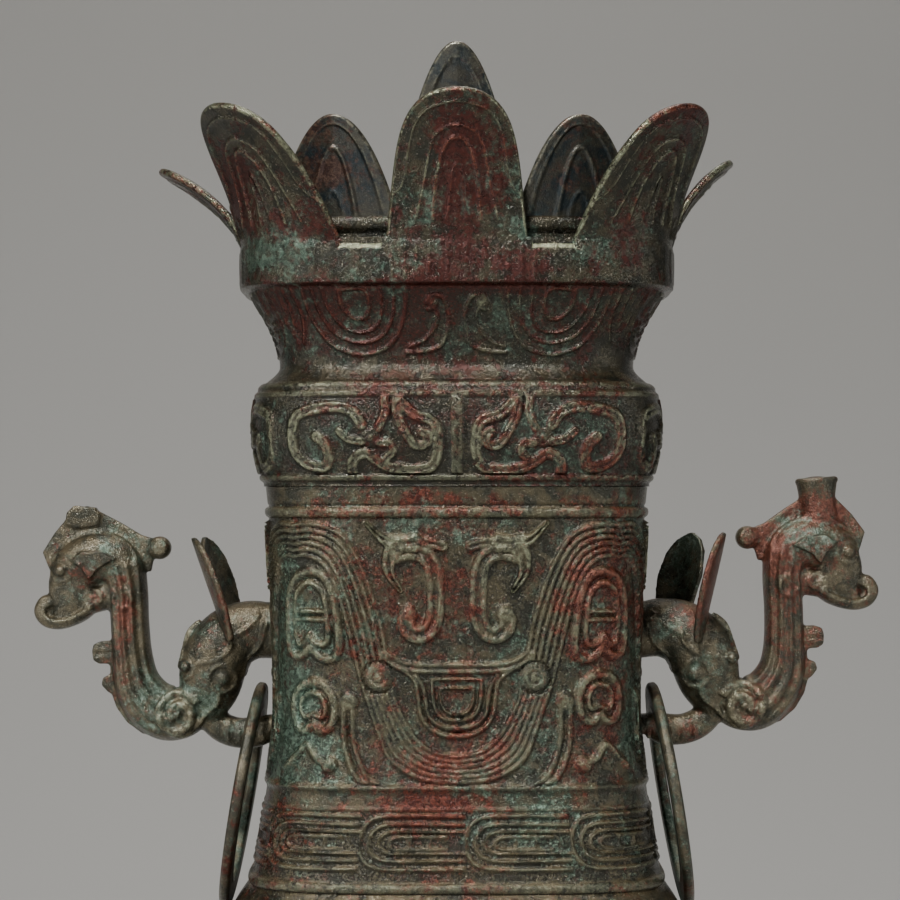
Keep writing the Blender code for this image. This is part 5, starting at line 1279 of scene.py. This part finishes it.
def handle_piece(name, side):
    """One handle: fused from its shapes, tilted, stretched to the handles' width and set into the neck.

    Its tone rises with each point's distance from the shapes without their strokes.
    """
    shapes = handle_shapes(side)
    base = joined(shapes)
    tree = BVHTree.FromPolygons([tuple(p) for p in base[0]], base[1])
    for line, radius in STROKES:
        shapes += drawn_on(tree, line, radius)
    places, faces = fused(name + "_raw", shapes)
    away = np.array([tree.find_nearest(Vector(p))[3] for p in places])
    tilt = radians(HANDLE_TILT[side])
    tip = SNOUT_TIP[0] * np.cos(tilt) - SNOUT_TIP[1] * np.sin(tilt) + SNOUT_TIP_RADIUS
    size = (0.5 * HANDLES_WIDTH - HANDLE_ROOT[side]) / tip
    out = size * (places[:, 0] * np.cos(tilt) - places[:, 2] * np.sin(tilt)) + HANDLE_ROOT[side]
    up = MM * (places[:, 0] * np.sin(tilt) + places[:, 2] * np.cos(tilt)) + HANDLE_LEVEL
    out = np.maximum(out, body_half(up) - ROOT_DEPTH)
    placed = np.stack([side * out, side * MM * places[:, 1], up], axis=1)
    return add_mesh(name, placed, faces, 0.62 + 0.5 * np.clip(away, 0, 1.2))


# The handles' bronze: paler and browner, with little red on the left one and more on the right one's head.
HANDLE_COLOURS = BRONZE_COLOURS | {"dark": "#34342a", "brown": "#5b5442", "teal": "#455648",
                                   "pale": "#76877a", "red": "#4f2a20", "rust": "#6f4234", "wear_and_painted_highlight": "#8a876f"}
handle_bronze = patinated_bronze(
    "bronze_handle", HANDLE_COLOURS,
    [((-0.148, 0.0, 0.30), (0.005, 0.05, 0.03), 0.10), ((-0.105, -0.02, 0.32), (0.014, 0.02, 0.03), 0.10),
     ((0.107, -0.02, 0.32), (0.012, 0.02, 0.03), 0.16), ((0.158, 0.0, 0.328), (0.03, 0.05, 0.03), 0.06),
     ((0.15, 0.0, 0.29), (0.03, 0.05, 0.04), 0.09), ((0.165, 0.0, 0.35), (0.02, 0.05, 0.008), 0.10),
     ((0.14, 0.0, 0.335), (0.012, 0.05, 0.012), 0.12)],
    [((-0.14, 0.0, 0.34), (0.02, 0.05, 0.02), 0.06), ((0.155, 0.0, 0.338), (0.02, 0.05, 0.01), 0.12),
     ((-0.12, 0.0, 0.265), (0.03, 0.05, 0.02), 0.10), ((0.11, 0.0, 0.275), (0.03, 0.05, 0.03), 0.07),
     # These two places at the far ears lift them to pale green-grey: their green patina, with painted light
     # on ears the lamps leave in shade.
     ((0.110, 0.03, 0.325), (0.016, 0.022, 0.04), 0.25), ((-0.112, 0.03, 0.325), (0.016, 0.022, 0.04), 0.15),
     ((-0.145, 0.0, 0.285), (0.02, 0.05, 0.03), 0.04), ((0.170, 0.0, 0.335), (0.02, 0.05, 0.02), 0.04)],
    {"red": 0.005, "teal": 0.01, "rough": 0.15, "bump": 0.6}, 5.0)
for side, word in ((-1, "left"), (1, "right")):
    piece = handle_piece("handle_cast_" + word, side)
    piece.data.materials.append(handle_bronze)
    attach(piece, "vessel")
    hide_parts("handle_" + word)


# Stage, which is no part of the vessel: a plain pale paper floor that rises behind it, five soft lamps, a
# faint even light from all round, and a camera where the photo's was.
CAMERA_PLACE = (-0.0029, -1.2, 0.354)
SENSOR_WIDTH = 36.0
FOCAL_PIXELS = 2667.0
EYE_ROW = 503.0
FRAME_PIXELS = 900
SWEEP_FRONT, SWEEP_START, SWEEP_RADIUS, SWEEP_TOP, SWEEP_SIDE = -8.0, 1.0, 1.2, 4.0, 8.0
# Lamps: name, place, what it aims at, width in metres and power in watts.
LAMPS = [("key_lamp", (-0.30, -0.92, 1.50), (0, 0, 0.34), 0.24, 33),
         ("front_lamp", (-0.25, -1.60, 0.40), (0, 0, 0.34), 0.3, 3.5),
         ("left_lamp", (-1.3, -0.8, 0.45), (0, 0, 0.31), 0.4, 8),
         ("right_lamp", (1.3, -0.7, 0.6), (0, 0, 0.31), 0.4, 6.5),
         ("top_lamp", (0.1, 0.5, 1.6), (0, 0, 0.40), 0.6, 7)]

view = bpy.data.cameras.new("camera")
view.sensor_width = SENSOR_WIDTH
view.lens = SENSOR_WIDTH * FOCAL_PIXELS / FRAME_PIXELS
camera = bpy.data.objects.new("camera", view)
camera.location = CAMERA_PLACE
camera.rotation_euler = (pi / 2 + atan((EYE_ROW - FRAME_PIXELS / 2) / FOCAL_PIXELS), 0, 0)
bpy.context.scene.collection.objects.link(camera)
bpy.context.scene.camera = camera

for name, place, aim, size, power in LAMPS:
    data = bpy.data.lights.new(name, "AREA")
    data.shape = "DISK"
    data.size = size
    data.energy = power
    lamp = bpy.data.objects.new(name, data)
    lamp.location = place
    lamp.rotation_euler = (Vector(aim) - Vector(place)).to_track_quat("-Z", "Y").to_euler()
    bpy.context.scene.collection.objects.link(lamp)

world = bpy.data.worlds.new("studio")
world.use_nodes = True
world.node_tree.nodes["Background"].inputs["Color"].default_value = (0.8, 0.8, 0.82, 1)
world.node_tree.nodes["Background"].inputs["Strength"].default_value = 0.07
bpy.context.scene.world = world

bend = np.linspace(0, pi / 2, 24)
sweep_end = SWEEP_START + SWEEP_RADIUS
depths = np.concatenate([[SWEEP_FRONT], SWEEP_START + SWEEP_RADIUS * np.sin(bend), [sweep_end]])
heights = np.concatenate([[0.0], SWEEP_RADIUS * (1 - np.cos(bend)), [SWEEP_TOP]])
edges = [np.stack([0 * depths + x, depths, heights], axis=1) for x in (SWEEP_SIDE, -SWEEP_SIDE)]
floor = add_mesh("floor", np.stack(edges, axis=1), grid_faces(len(depths), 2, False, False))
# Matt white paper: even and without gloss.
paper = bpy.data.materials.new("pale_paper")
paper.use_nodes = True
paper.node_tree.nodes["Principled BSDF"].inputs["Base Color"].default_value = linear("#c9c7c2")
paper.node_tree.nodes["Principled BSDF"].inputs["Roughness"].default_value = 0.9
floor.data.materials.append(paper)
